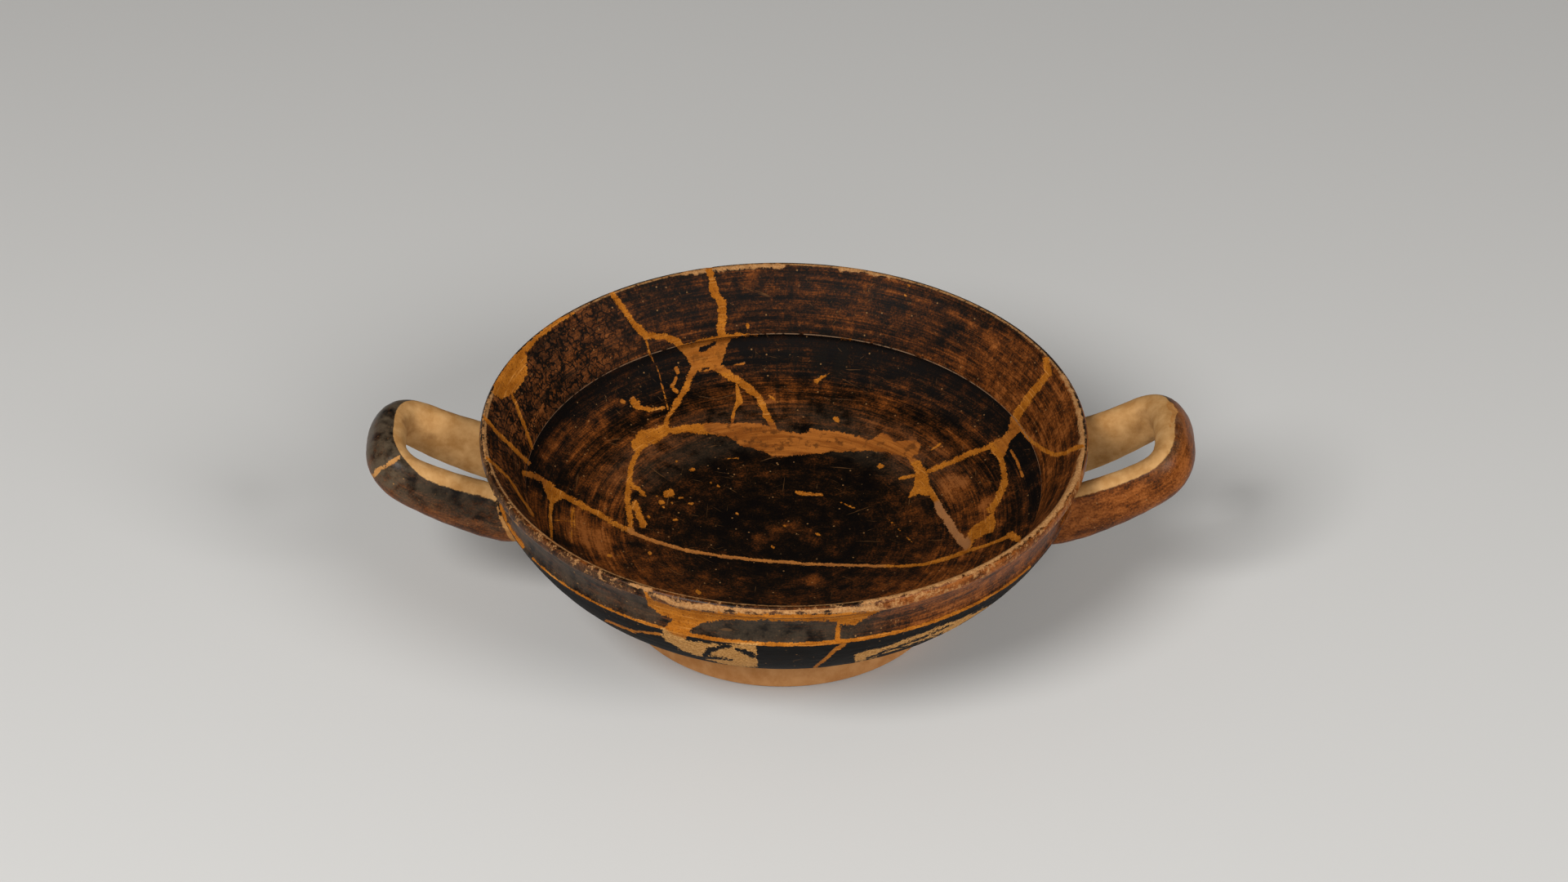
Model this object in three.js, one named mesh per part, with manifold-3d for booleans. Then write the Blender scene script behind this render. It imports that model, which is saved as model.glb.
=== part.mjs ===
// A stemless drinking cup: a thick shallow bowl on a low ring foot, an inset lip whose lower edge
// overhangs the bowl inside, and two horizontal loop handles that rise outwards. It is one fired piece.
// It stands on z = 0 with its axis on Z and its handles towards +X and -X. Sizes are in millimetres.

import * as THREE from "three";
import { mergeVertices } from "three/addons/utils/BufferGeometryUtils.js";
import Module from "manifold-3d";

// The whole cup
const cupHeight = 56.3; // ground to the rim's crest
const rimRadius = 84.6; // the rim's bead at its widest
const rimLeanX = -0.0116; // slope of the rim along X, which the kiln left
const rimLeanY = -0.007;
const rimShift = 0.4; // the rim's centre beyond the foot's, along X
const bodyShift = 0.6; // the foot's centre beyond the middle of the two handles, along X
const turns = 72; // facets around the axis

// Lip: a rounded bead over a hollow neck, down to the ridge where the lip meets the bowl
const lipHeight = 14.6; // ridge to crest
const beadHeight = 4.3; // lower edge of the bead to crest
const beadWidth = 2.9; // widest point of the bead to its inside edge
const beadOverhang = 4.3; // the bead beyond the neck
const ridgeStand = 0.9; // the ridge beyond the neck
const lipSwell = 0.7; // how far the lip's inside face is bowed towards the axis

// Bowl
const wallThickness = 3.2; // at the top of the bowl
const bowlFullness = 24.9; // how far past the foot the bowl's underside stays nearly flat
const bowlRise = 1.3; // how much it rises on that way
const stepDrop = 3.4; // ridge down to the step inside
const stepOverhang = 3.8; // the step's edge beyond the wall under it
const undercutDepth = 0.9; // the step's edge down to the top of the wall under it
const floorThickness = 7.4; // at the axis

// Ring foot
const footRadius = 46.6;
const footHeight = 13.5;
const footTaper = 1.9; // radius lost between the foot's edge and the bowl
const footRingWidth = 6.2; // the flat ring that it stands on
const footEdge = 0.9; // rounding of the foot's outer edge
const recessDepth = 9.4; // hollow under the foot, at the axis
const recessTaper = 2.4; // radius lost up the hollow's side
const recessDome = 1.2; // the hollow's ceiling rises this much to the axis

// Handles: a strap with rounded faces, bent into a loop
const handleReach = 115.1; // axis to the loop's outermost point
const handleDrop = 4.7; // ridge down to the middle of the strap at its root
const strapThickness = 8.6; // at the root
const strapTipThickness = 9.9;
const strapHeight = 17.6; // at the root
const strapTipHeight = 12.8;
const rootSlope = 0.33; // rise of the strap along X, at the root
const rootSink = 5; // how far inside the ridge that slope goes on before the strap runs level
const sectionPower = 2.25; // 2 is an ellipse, more is squarer
const bendPower = 2.9; // the same for the loop's end seen from above
const rightLoop = { side: 1, spread: 29.9, bend: 8.8, tipSlope: 0.75 };
const leftLoop = { side: -1, spread: 27.4, bend: 10.2, tipSlope: 0.67 };
const armSteps = 4; // rings along each arm
const bendSteps = 20; // rings around the bend
const strapSides = 12;

// Small parts of the profile, as shares of the sizes above, and angles
const neckFoot = 0.3; // where the neck leaves the ridge, of the ridge's stand
const neckHollow = 0.4; // how far the neck is hollowed, of the same
const neckTop = 0.45; // where the neck meets the bead, of the bead's overhang
const beadStart = -Math.PI / 5; // where the bead's round begins, outside
const beadEnd = Math.PI * 0.85; // where it ends, inside
const lipStart = 0.35; // crest down to the top of the lip's inside face, of the bead's height
const underStepReach = 0.55; // how far out the undercut's bend is, of the step's overhang
const underStepDrop = 0.8; // how far down, of the undercut's depth
const wallLean = 1.003; // 1 would make the top of the wall inside upright
const footBend = 0.6; // height of the slight bend in the foot's side, of its height
const footBendTaper = 0.3; // radius lost up to that bend, of the foot's taper
const recessBend = 0.55; // height of the bend in the hollow's side, of its edge's height
const clearOfRim = 1.5; // top of the tool that trims the handles' roots, of the cup's height

// Points along the curves
const curveSteps = 200; // the bowl's curve, where radii are read off it
const bowlSteps = 9; // outside and inside each
const lipSteps = 4;
const beadSteps = 6;
const recessSteps = 3;
const edgeSteps = 2;
const weldGap = 1e-3;

// Places that follow from the sizes
const ridgeHeight = cupHeight - lipHeight;
const neckRadius = rimRadius - beadOverhang;
const ridgeRadius = neckRadius + ridgeStand;
const footTop = footRadius - footTaper;
const ridge = new THREE.Vector2(ridgeRadius, ridgeHeight);
const bowlCurve = new THREE.CubicBezierCurve(
  ridge,
  ridge,
  new THREE.Vector2(footTop + bowlFullness, footHeight + bowlRise),
  new THREE.Vector2(footTop, footHeight),
);
const stepHeight = ridgeHeight - stepDrop;
const wallTop = stepHeight - undercutDepth;
const innerRadius = outsideRadius(wallTop) - wallThickness;
const stepRadius = innerRadius - stepOverhang;
const rimInside = rimRadius - beadWidth;
const floorHeight = recessDepth + floorThickness;

// Radius of the bowl's outside at a height between the foot and the ridge.
function outsideRadius(z) {
  const points = bowlCurve.getPoints(curveSteps);
  const below = points.findIndex((point) => point.y <= z);
  const share = (points[below - 1].y - z) / (points[below - 1].y - points[below].y);
  return THREE.MathUtils.lerp(points[below - 1].x, points[below].x, share);
}

// A quadratic curve from a to b that leans towards the point by, as [radius, height] pairs.
function bow(a, by, b, steps) {
  const curve = new THREE.QuadraticBezierCurve(
    new THREE.Vector2(...a),
    new THREE.Vector2(...by),
    new THREE.Vector2(...b),
  );
  return curve.getPoints(steps);
}

// Points of an ellipse about (r, z) from one angle to another.
function arc(r, z, radiusR, radiusZ, from, to, steps) {
  const points = [];
  for (let i = 0; i <= steps; i++) {
    const angle = from + ((to - from) * i) / steps;
    points.push(new THREE.Vector2(r + radiusR * Math.cos(angle), z + radiusZ * Math.sin(angle)));
  }
  return points;
}

// The foot and its hollow underside, from the axis to the foot's top.
function footProfile() {
  const ringInside = footRadius - footRingWidth;
  const ceilingRadius = ringInside - recessTaper;
  const ceilingEdge = recessDepth - recessDome;
  return [
    ...bow([0, recessDepth], [ceilingRadius / 2, recessDepth], [ceilingRadius, ceilingEdge], recessSteps),
    new THREE.Vector2(ringInside - recessTaper / 2, ceilingEdge * recessBend),
    new THREE.Vector2(ringInside, 0),
    ...arc(footRadius - footEdge, footEdge, footEdge, footEdge, -Math.PI / 2, 0, edgeSteps),
    new THREE.Vector2(footRadius - footTaper * footBendTaper, footHeight * footBend),
  ];
}

// The outside of the bowl, the neck and the rim's bead, from the foot's top to the crest.
function outsideProfile() {
  const beadEdge = cupHeight - beadHeight;
  const bowl = bowlCurve.getSpacedPoints(bowlSteps).reverse();
  const neck = bow(
    [neckRadius + ridgeStand * neckFoot, ridgeHeight + ridgeStand],
    [neckRadius - ridgeStand * neckHollow, (ridgeHeight + beadEdge) / 2],
    [rimRadius - beadOverhang * neckTop, beadEdge],
    lipSteps,
  );
  const bead = arc(
    rimRadius - beadWidth / 2,
    cupHeight - beadHeight / 2,
    beadWidth / 2,
    beadHeight / 2,
    beadStart,
    beadEnd,
    beadSteps,
  );
  return [...bowl, ...neck, ...bead];
}

// The inside, from the rim's inside edge down the lip, under the step and over the bowl to the axis.
function insideProfile() {
  const lipTop = cupHeight - beadHeight * lipStart;
  const middle = [(rimInside + stepRadius) / 2 - lipSwell * 2, (lipTop + stepHeight) / 2 + lipSwell];
  const lip = bow([rimInside, lipTop], middle, [stepRadius, stepHeight], lipSteps);
  const underStep = new THREE.Vector2(
    stepRadius + stepOverhang * underStepReach,
    stepHeight - undercutDepth * underStepDrop,
  );
  const widest = innerRadius * wallLean;
  const fall = (wallTop - floorHeight) / (1 - Math.sqrt(1 - (innerRadius / widest) ** 2));
  const bowl = [];
  for (let i = 0; i <= bowlSteps; i++) {
    const r = innerRadius * Math.cos((Math.PI / 2) * (i / bowlSteps));
    const centre = floorHeight + fall;
    bowl.push(new THREE.Vector2(r, centre - fall * Math.sqrt(1 - (r / widest) ** 2)));
  }
  return [...lip, underStep, ...bowl];
}

// The rim leans a little and the foot stays flat, so the lean grows with height.
function leanBody(geometry) {
  const position = geometry.getAttribute("position");
  for (let i = 0; i < position.count; i++) {
    const [x, y, z] = [position.getX(i), position.getY(i), position.getZ(i)];
    const share = THREE.MathUtils.smoothstep(z, 0, cupHeight);
    position.setX(i, x + bodyShift + rimShift * share);
    position.setZ(i, z + (rimLeanX * x + rimLeanY * y) * share);
  }
  return geometry;
}

function turned(profile) {
  return leanBody(new THREE.LatheGeometry(profile, turns).rotateX(Math.PI / 2));
}

// The space inside the cup grown into half of its wall, where the handles' arms end.
function rootTrimProfile() {
  const depth = wallThickness / 2;
  const inside = insideProfile().reverse();
  const top = cupHeight * clearOfRim;
  const grown = inside.map(({ x, y }, i) => new THREE.Vector2(i ? x + depth : 0, y));
  return [...grown, new THREE.Vector2(rimInside + depth, top), new THREE.Vector2(0, top)];
}

// A number raised to a power with its sign kept, for squarish rounds.
function signedPower(value, power) {
  return Math.sign(value) * Math.abs(value) ** power;
}

// How far the tip's section reaches out from its middle along X.
function tipExtent(slope) {
  const tilt = Math.atan(slope);
  return Math.hypot((strapTipThickness / 2) * Math.cos(tilt), (strapTipHeight / 2) * Math.sin(tilt));
}

// The middle line of one handle, seen from above and lifted along its slope.
function handleLine({ side, spread, bend, tipSlope }) {
  const rootX = ridgeRadius;
  const tipX = handleReach - tipExtent(tipSlope);
  const startX = innerRadius - 2 * wallThickness;
  const run = tipX - rootX;
  const bendX = tipX - bend;
  const plan = [];
  for (let i = 0; i < armSteps; i++) {
    plan.push([startX + ((bendX - startX) * i) / armSteps, -spread / 2]);
  }
  for (let i = 0; i <= bendSteps; i++) {
    const angle = -Math.PI / 2 + (Math.PI * i) / bendSteps;
    plan.push([
      bendX + bend * signedPower(Math.cos(angle), 2 / bendPower),
      (spread / 2) * signedPower(Math.sin(angle), 2 / bendPower),
    ]);
  }
  for (let i = armSteps - 1; i >= 0; i--) {
    plan.push([startX + ((bendX - startX) * i) / armSteps, spread / 2]);
  }
  return plan.map(([x, y]) => {
    const grown = Math.max(0, x - rootX);
    const slope = rootSlope + ((tipSlope - rootSlope) * grown) / run;
    const sink = rootSlope * THREE.MathUtils.clamp(x - rootX, -rootSink, 0);
    const rise = sink + rootSlope * grown + (((tipSlope - rootSlope) / run) * grown ** 2) / 2;
    const place = new THREE.Vector3(x * side, y * side, ridgeHeight - handleDrop + rise);
    return { place, slope: slope * side, share: Math.min(1, grown / run) };
  });
}

// One handle as a closed skin of rings with a flat cap on each buried end.
function handleGeometry(loop) {
  const line = handleLine(loop);
  const points = [];
  const faces = [];
  line.forEach(({ place, slope, share }, i) => {
    const before = line[Math.max(0, i - 1)].place;
    const after = line[Math.min(line.length - 1, i + 1)].place;
    const along = after.clone().sub(before).normalize();
    const up = new THREE.Vector3(-slope, 0, 1);
    up.addScaledVector(along, -up.dot(along)).normalize();
    const across = along.clone().cross(up);
    const thickness = THREE.MathUtils.lerp(strapThickness, strapTipThickness, share);
    const height = THREE.MathUtils.lerp(strapHeight, strapTipHeight, share);
    for (let j = 0; j < strapSides; j++) {
      const angle = (2 * Math.PI * j) / strapSides;
      const outwards = (thickness / 2) * signedPower(Math.cos(angle), 2 / sectionPower);
      const upwards = (height / 2) * signedPower(Math.sin(angle), 2 / sectionPower);
      points.push(place.clone().addScaledVector(across, outwards).addScaledVector(up, upwards));
    }
  });
  const last = (line.length - 1) * strapSides;
  const firstCap = points.push(line[0].place) - 1;
  const lastCap = points.push(line[line.length - 1].place) - 1;
  for (let j = 0; j < strapSides; j++) {
    const next = (j + 1) % strapSides;
    for (let ring = 0; ring < last; ring += strapSides) {
      const above = ring + strapSides;
      faces.push(ring + j, above + j, above + next);
      faces.push(ring + j, above + next, ring + next);
    }
    faces.push(firstCap, j, next);
    faces.push(lastCap, last + next, last + j);
  }
  return new THREE.BufferGeometry().setFromPoints(points).setIndex(faces);
}

const wasm = await Module();
wasm.setup();

function solid(geometry) {
  const bare = geometry.clone().deleteAttribute("normal").deleteAttribute("uv");
  const merged = mergeVertices(bare, weldGap);
  const made = new wasm.Manifold(
    new wasm.Mesh({
      numProp: 3,
      vertProperties: merged.getAttribute("position").array,
      triVerts: new Uint32Array(merged.index.array),
    }),
  );
  return made;
}

function geometryOf(shape) {
  const { vertProperties, triVerts } = shape.getMesh();
  const geometry = new THREE.BufferGeometry();
  geometry.setAttribute("position", new THREE.BufferAttribute(vertProperties, 3));
  geometry.setIndex(new THREE.BufferAttribute(triVerts, 1));
  return geometry;
}

const body = solid(turned([...footProfile(), ...outsideProfile(), ...insideProfile()]));
const rootTrim = solid(turned(rootTrimProfile()));
let joined = body;
for (const loop of [rightLoop, leftLoop]) {
  joined = joined.add(solid(handleGeometry(loop)).subtract(rootTrim));
}

const geometry = geometryOf(joined).toNonIndexed();
geometry.computeVertexNormals();
const blackGloss = new THREE.MeshStandardMaterial({ color: 0x2b1c0e, roughness: 0.35, metalness: 0 });

const cup = new THREE.Group();
const kylix = new THREE.Mesh(geometry, blackGloss);
kylix.name = "kylix_cup";
cup.add(kylix);

export default cup;
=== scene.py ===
import math
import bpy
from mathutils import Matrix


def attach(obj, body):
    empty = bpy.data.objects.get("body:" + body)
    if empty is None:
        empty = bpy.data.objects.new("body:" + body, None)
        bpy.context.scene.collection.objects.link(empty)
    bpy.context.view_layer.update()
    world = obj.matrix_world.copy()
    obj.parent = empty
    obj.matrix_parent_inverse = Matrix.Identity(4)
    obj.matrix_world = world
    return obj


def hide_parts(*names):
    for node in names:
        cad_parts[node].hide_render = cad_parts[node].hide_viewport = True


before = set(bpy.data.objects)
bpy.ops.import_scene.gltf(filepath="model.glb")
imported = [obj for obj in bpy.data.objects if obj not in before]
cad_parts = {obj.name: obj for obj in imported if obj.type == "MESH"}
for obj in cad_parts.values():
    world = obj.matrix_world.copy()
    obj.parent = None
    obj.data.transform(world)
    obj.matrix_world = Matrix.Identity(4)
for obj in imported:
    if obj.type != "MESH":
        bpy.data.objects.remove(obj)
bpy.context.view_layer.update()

from types import SimpleNamespace

import bpy
import numpy as np
from mathutils import Vector
from mathutils.kdtree import KDTree

# A stemless drinking cup with an inset lip, mended and worn. Sizes are in millimetres.
MM = 0.001

# The whole cup
CUP_HEIGHT = 56.3
RIM_RADIUS = 84.6
RIM_LEAN_X = -0.0116
RIM_LEAN_Y = -0.007
RIM_SHIFT = 0.4
BODY_SHIFT = 0.6

# Lip
LIP_HEIGHT = 14.6
BEAD_HEIGHT = 4.3
BEAD_WIDTH = 2.9
BEAD_OVERHANG = 4.3
RIDGE_STAND = 0.9
LIP_SWELL = 0.7

# Bowl
WALL_THICKNESS = 3.2
BOWL_FULLNESS = 24.9
BOWL_RISE = 1.3
STEP_DROP = 3.4
STEP_OVERHANG = 3.8
UNDERCUT_DEPTH = 0.9
FLOOR_THICKNESS = 7.4

# Ring foot
FOOT_RADIUS = 46.6
FOOT_HEIGHT = 13.5
FOOT_TAPER = 1.9
FOOT_RING_WIDTH = 6.2
FOOT_EDGE = 0.9
RECESS_DEPTH = 9.4
RECESS_TAPER = 2.4
RECESS_DOME = 1.2

# Shares and angles that bend the profile's curves, and their steps
RECESS_BEND = 0.5
RECESS_FALL = 0.55
FOOT_BEND = 0.6
FOOT_BEND_TAPER = 0.3
NECK_FOOT = 0.3
NECK_HOLLOW = 0.4
NECK_TOP = 0.45
BEAD_START = -math.pi / 5
BEAD_END = math.pi * 0.85
LIP_START = 0.35
LIP_SWELL_IN = 2
UNDER_STEP_REACH = 0.55
UNDER_STEP_DROP = 0.8
WALL_LEAN = 1.003
RECESS_STEPS = 12
EDGE_STEPS = 6
LIP_STEPS = 16
BEAD_STEPS = 24
WALL_STEPS = 60
BOWL_STEPS = 200

# Handles
HANDLE_REACH = 115.1
HANDLE_DROP = 4.7
STRAP_THICKNESS = 8.6
STRAP_TIP_THICKNESS = 9.9
STRAP_HEIGHT = 17.6
STRAP_TIP_HEIGHT = 12.8
ROOT_SLOPE = 0.33
ROOT_SINK = 5
SECTION_POWER = 2.25
BEND_POWER = 2.9
LOOPS = {
    "right": {"side": 1, "spread": 29.9, "bend": 8.8, "tip_slope": 0.75},
    "left": {"side": -1, "spread": 27.4, "bend": 10.2, "tip_slope": 0.67},
}
ARM_STEPS = 26
BEND_STEPS = 56
STRAP_SIDES = 44
FILLET_REACH = 2.6
FILLET_ROUNDS = 14
FILLET_PULL = 0.5

# Mesh
TURNS = 220
CORNER_ROUNDING = 0.7
PROFILE_STEP = 0.1
TRIM_EVERY = 12
TRIM_START = 2
TRIM_TOP = 1.5
# From the recess over the foot, bowl, neck, bead, lip and step to the floor.
ROW_STEPS = (3.2, 1.3, 1.8, 0.7, 0.6, 1.6, 0.42, 1.9)
RIDGE_MARGIN = 2
CREST_MARGIN = 2.4
STEP_MARGIN = 1.2
# Each round's edge length and its reach to either side of a break.
REFINE_ROUNDS = ((1.2, 1.4), (0.66, 0.65), (0.66, 0.65))
LONGEST_EDGE = 1.25
EDGE_REACH = 0.3
SHARP_ANGLE = math.radians(48)

# The camera that took the photo, whose pixels place the breaks
PHOTO_WIDTH = 1920
PHOTO_HEIGHT = 1080
FOCAL_PIXELS = 5000
CAMERA_TILT = 0.6185
CAMERA_X = 0.98
TARGET_HEIGHT = 50.63
CAMERA_DISTANCE = 1137.3
SENSOR_WIDTH = 36
PIXELS_PER_MM = FOCAL_PIXELS / CAMERA_DISTANCE

# Places that follow from the sizes
RIDGE_HEIGHT = CUP_HEIGHT - LIP_HEIGHT
NECK_RADIUS = RIM_RADIUS - BEAD_OVERHANG
RIDGE_RADIUS = NECK_RADIUS + RIDGE_STAND
NECK_TOP_RADIUS = RIM_RADIUS - BEAD_OVERHANG * NECK_TOP
FOOT_TOP = FOOT_RADIUS - FOOT_TAPER
STEP_HEIGHT = RIDGE_HEIGHT - STEP_DROP
WALL_TOP = STEP_HEIGHT - UNDERCUT_DEPTH
RIM_INSIDE = RIM_RADIUS - BEAD_WIDTH
FLOOR_HEIGHT = RECESS_DEPTH + FLOOR_THICKNESS

# Breaks and marks: the distance that stands for none, the marks that are only in the slip, the width
# up to which a line counts as narrow, and where the far wall starts
FAR = 30.0
SURFACE_MARKS = ("mark_", "bowl_streak", "bowl_spot")
NARROW_PIXELS = 5
FAR_WALL_START = -10
CREST_WIDTH = 1.0
FOOT_JOIN = 0.3

# Breaks with their light fills on the inside, as seen in the photo: points in pixels, then the
# width in pixels at the first and the last point.
INSIDE_LINES = {
    "lip_back_left": ([(749, 359), (764, 379), (777, 397), (791, 411), (815, 412), (830, 420),
        (840, 428)], 6, 9),
    "lip_back_left_hair": ([(791, 415), (796, 435), (805, 450), (811, 473), (818, 501)], 2.2, 1.6),
    "lip_back": ([(869, 329), (875, 359), (884, 371), (885, 384), (883, 402), (885, 414)], 9, 11),
    "step_tail": ([(885, 415), (905, 410), (927, 411)], 6, 2),
    "bowl_left": ([(853, 446), (845, 461), (840, 475), (828, 494), (817, 512), (816, 524)], 8, 5),
    "bowl_right": ([(868, 444), (896, 461), (913, 472), (928, 485), (933, 495), (941, 513),
        (950, 526)], 11, 6),
    "bowl_spur": ([(902, 470), (904, 482), (906, 492)], 3, 7),
    "bowl_spur_end": ([(904, 493), (899, 502), (896, 518)], 5, 3),
    "bowl_streak": ([(776, 491), (783, 498), (796, 502), (813, 499)], 9, 2),
    "bowl_streak_dot": ([(762, 491), (765, 493)], 4, 4),
    "bowl_spot_high": ([(828, 451), (830, 456)], 5, 4),
    "bowl_spot_middle": ([(828, 463), (823, 473)], 4, 4),
    "bowl_spot_low": ([(825, 477), (829, 480)], 5, 4),
    "ring_thin": ([(816, 528), (842, 525), (870, 525), (896, 526)], 6, 17),
    "ring_right": ([(1108, 549), (1116, 560), (1122, 570)], 9, 9),
    "ring_low": ([(1141, 604), (1145, 612), (1150, 622)], 8, 9),
    "ring_low_pink": ([(1150, 622), (1160, 638), (1170, 653), (1179, 664)], 10, 10),
    "ring_low_end": ([(1179, 664), (1185, 673)], 9, 6),
    "side_right": ([(1136, 577), (1164, 566), (1187, 555), (1212, 547)], 6, 6),
    "side_right_up": ([(1240, 525), (1243, 513), (1250, 500), (1262, 484), (1283, 457),
        (1280, 440)], 11, 8),
    "lip_right": ([(1246, 519), (1255, 532), (1265, 542), (1278, 551), (1291, 557), (1304, 555),
        (1313, 550), (1325, 546)], 4.5, 5),
    "floor_right": ([(1225, 555), (1229, 579), (1230, 592), (1221, 613), (1213, 625)], 6, 8),
    "floor_right_bit": ([(1238, 552), (1246, 566), (1252, 583)], 3, 3),
    "ring_left": ([(773, 647), (768, 612), (772, 574), (780, 553), (790, 536)], 7, 6),
    "front_left": ([(642, 579), (655, 583), (672, 592), (690, 607), (715, 620), (745, 636),
        (774, 652)], 6, 6),
    "front": ([(774, 652), (799, 662), (841, 674), (884, 681), (930, 686), (1000, 691), (1079, 693)], 4, 3),
    "front_right": ([(1079, 693), (1105, 693), (1130, 691), (1155, 685), (1170, 680), (1184, 674)], 3, 5),
    "front_end": ([(1184, 674), (1206, 668), (1240, 655)], 4, 4),
    "left_down": ([(676, 612), (674, 635), (676, 660)], 5, 3),
    "left_down_hair": ([(700, 620), (700, 664)], 1.6, 1.6),
    "lip_left_long": ([(592, 510), (608, 528), (623, 543), (648, 567)], 4, 5),
    "lip_left_short": ([(625, 478), (636, 505), (644, 526), (652, 549)], 4, 3),
    "lip_left_low": ([(596, 560), (623, 585), (636, 606), (654, 632)], 3, 3),
    "lip_left_rim": ([(641, 430), (662, 409), (684, 393), (703, 383)], 8, 3),
    "mark_curl": ([(775, 595), (783, 600), (790, 608)], 6, 3),
    "mark_strip": ([(777, 616), (783, 630), (788, 643)], 7, 8),
    "mark_blob": ([(816, 605), (822, 604)], 8, 8),
    "mark_blob_low": ([(808, 614), (812, 615)], 4, 4),
    "mark_dash": ([(976, 603), (990, 605), (1006, 606)], 5, 3),
    "mark_top": ([(1000, 466), (1006, 462), (1014, 458)], 6, 3),
    "mark_dot": ([(1023, 512), (1025, 514)], 7, 6),
    "mark_low_dot": ([(1077, 570), (1080, 571)], 6, 5),
    "mark_right_dash": ([(1101, 586), (1121, 582)], 3, 3),
    "mark_corner": ([(1238, 655), (1247, 660)], 10, 7),
}
INSIDE_PATCHES = {
    "chip_left": [(643, 424), (646, 440), (645, 458), (639, 472), (628, 482), (613, 488), (604, 481),
        (605, 466), (613, 452), (626, 437)],
    "step_patch": [(838, 422), (862, 415), (892, 408), (893, 417), (884, 443), (876, 452), (858, 455),
        (846, 447), (840, 436), (834, 428)],
    "ring_blob": [(773, 541), (782, 528), (800, 525), (816, 519), (823, 528), (806, 541), (795, 543),
        (785, 553), (776, 552)],
    "ring_band": [(868, 521), (905, 517), (935, 520), (954, 526), (985, 531), (993, 525), (1024, 528),
        (1067, 538), (1078, 531), (1089, 532), (1093, 541), (1121, 539), (1127, 545), (1124, 556),
        (1112, 560), (1085, 553), (1058, 552), (993, 555), (960, 559), (946, 558), (922, 548), (907, 545),
        (886, 531)],
    "ring_patch": [(1117, 560), (1126, 564), (1136, 578), (1138, 592), (1142, 602), (1139, 608),
        (1124, 605), (1113, 608), (1119, 594), (1122, 578), (1116, 568)],
    "side_patch": [(1242, 522), (1248, 528), (1235, 542), (1232, 555), (1223, 561), (1213, 555),
        (1212, 542), (1226, 536), (1234, 527)],
    "floor_patch": [(1182, 659), (1190, 646), (1200, 639), (1216, 626), (1219, 639), (1216, 652),
        (1205, 654), (1192, 662), (1190, 671), (1180, 675)],
    "left_head": [(664, 589), (678, 595), (697, 609), (684, 611), (677, 619), (671, 611)],
}
# Small pale marks on the inside: a first and a last point, and the width.
INSIDE_MARKS = [
    (915, 398, 916, 401, 4), (1112, 349, 1113, 350, 3), (1108, 361, 1109, 362, 3), (941, 484, 952, 492, 2),
    (899, 447, 911, 445, 2.5), (1030, 415, 1042, 416, 2.5), (870, 591, 871, 592, 2),
    (879, 595, 881, 596, 2), (828, 564, 829, 565, 3), (848, 574, 850, 575, 3), (886, 562, 905, 561, 0.9),
    (1028, 614, 1046, 622, 1.1), (1140, 551, 1151, 543, 2), (999, 653, 1006, 656, 2),
    (945, 669, 947, 670, 3), (808, 615, 809, 616, 3.5), (832, 610, 836, 609, 2), (822, 615, 823, 616, 2),
    (845, 575, 849, 576, 2), (825, 637, 829, 636, 2), (843, 616, 848, 616, 2), (812, 620, 813, 621, 2),
    (804, 607, 805, 608, 2), (794, 632, 795, 633, 2), (745, 680, 748, 681, 3.5), (795, 677, 797, 678, 3),
    (854, 724, 857, 726, 4), (1086, 634, 1117, 664, 0.6), (679, 637, 702, 638, 1.6),
    (703, 622, 704, 650, 1.4), (960, 643, 962, 644, 2), (902, 628, 903, 629, 2.5),
]
# Slip left standing inside the fills of the inside.
INSIDE_REMNANTS = {
    "step_spot": ([(859, 428), (866, 425), (876, 420)], 7, 4),
    "step_spot_low": ([(861, 452), (868, 451)], 4, 4),
}
# The break at the root of the left handle.
LEFT_ROOT = [(611, 622), (617, 640), (626, 655), (637, 668)]
# The same for the breaks and bare places on the outside.
OUTSIDE_LINES = {
    "neck_crack": ([(1028, 759), (1026, 770), (1026, 785), (1034, 789)], 6, 4),
    "bowl_crack": ([(1034, 789), (1022, 796), (1011, 807), (997, 818)], 5, 3),
    "second_line": ([(742, 760), (775, 773), (811, 777)], 2.4, 3),
    "left_low": ([(640, 690), (655, 706), (668, 716)], 3, 2),
    "left_root": (LEFT_ROOT, 9, 9),
    "streak_right": ([(1070, 815), (1100, 803), (1140, 785), (1172, 768)], 3, 2),
}
OUTSIDE_PATCHES = {
    "lip_fill": [(789, 724), (800, 735), (830, 745), (870, 750), (905, 752), (960, 753), (1020, 752),
        (1060, 749), (1077, 749), (1060, 757), (1047, 765), (1031, 766), (1026, 761), (960, 760),
        (885, 759), (858, 763), (848, 770), (840, 779), (838, 786), (817, 781), (812, 771), (819, 764),
        (823, 758), (810, 753), (793, 742)],
    "under_ridge": [(811, 771), (822, 780), (838, 785), (880, 789), (926, 790), (927, 817), (900, 817),
        (880, 812), (866, 806), (850, 801), (835, 796), (824, 789), (812, 782)],
    "right_wedge": [(1047, 801), (1081, 793), (1131, 775), (1160, 764), (1189, 753), (1214, 741),
        (1210, 748), (1185, 762), (1158, 774), (1112, 790), (1080, 801), (1047, 812)],
}
# Slip left standing inside those bare places.
OUTSIDE_REMNANTS = {
    "remnant_left": ([(864, 802), (870, 796), (880, 793), (894, 791)], 8, 4),
    "remnant_low": ([(868, 805), (884, 807), (896, 808)], 3, 2),
    "remnant_right": ([(902, 795), (912, 798), (921, 803)], 4, 7),
    "floor_island": ([(1206, 657), (1213, 656)], 3, 2),
    "remnant_streak": ([(852, 782), (862, 786), (872, 788)], 2, 3),
    "dash_one": ([(889, 748), (905, 749)], 3, 3),
    "dash_two": ([(913, 751), (924, 751)], 2.5, 2.5),
    "dash_three": ([(936, 751), (958, 751)], 3, 2.5),
    "dash_four": ([(974, 750), (990, 750)], 3, 2.5),
    "dash_five": ([(1003, 749), (1019, 748)], 3, 3),
    "wedge_streak": ([(1062, 806), (1090, 796), (1130, 781), (1165, 765)], 3, 2),
    "wedge_streak_low": ([(1094, 800), (1128, 786)], 2.5, 2),
}
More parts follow.
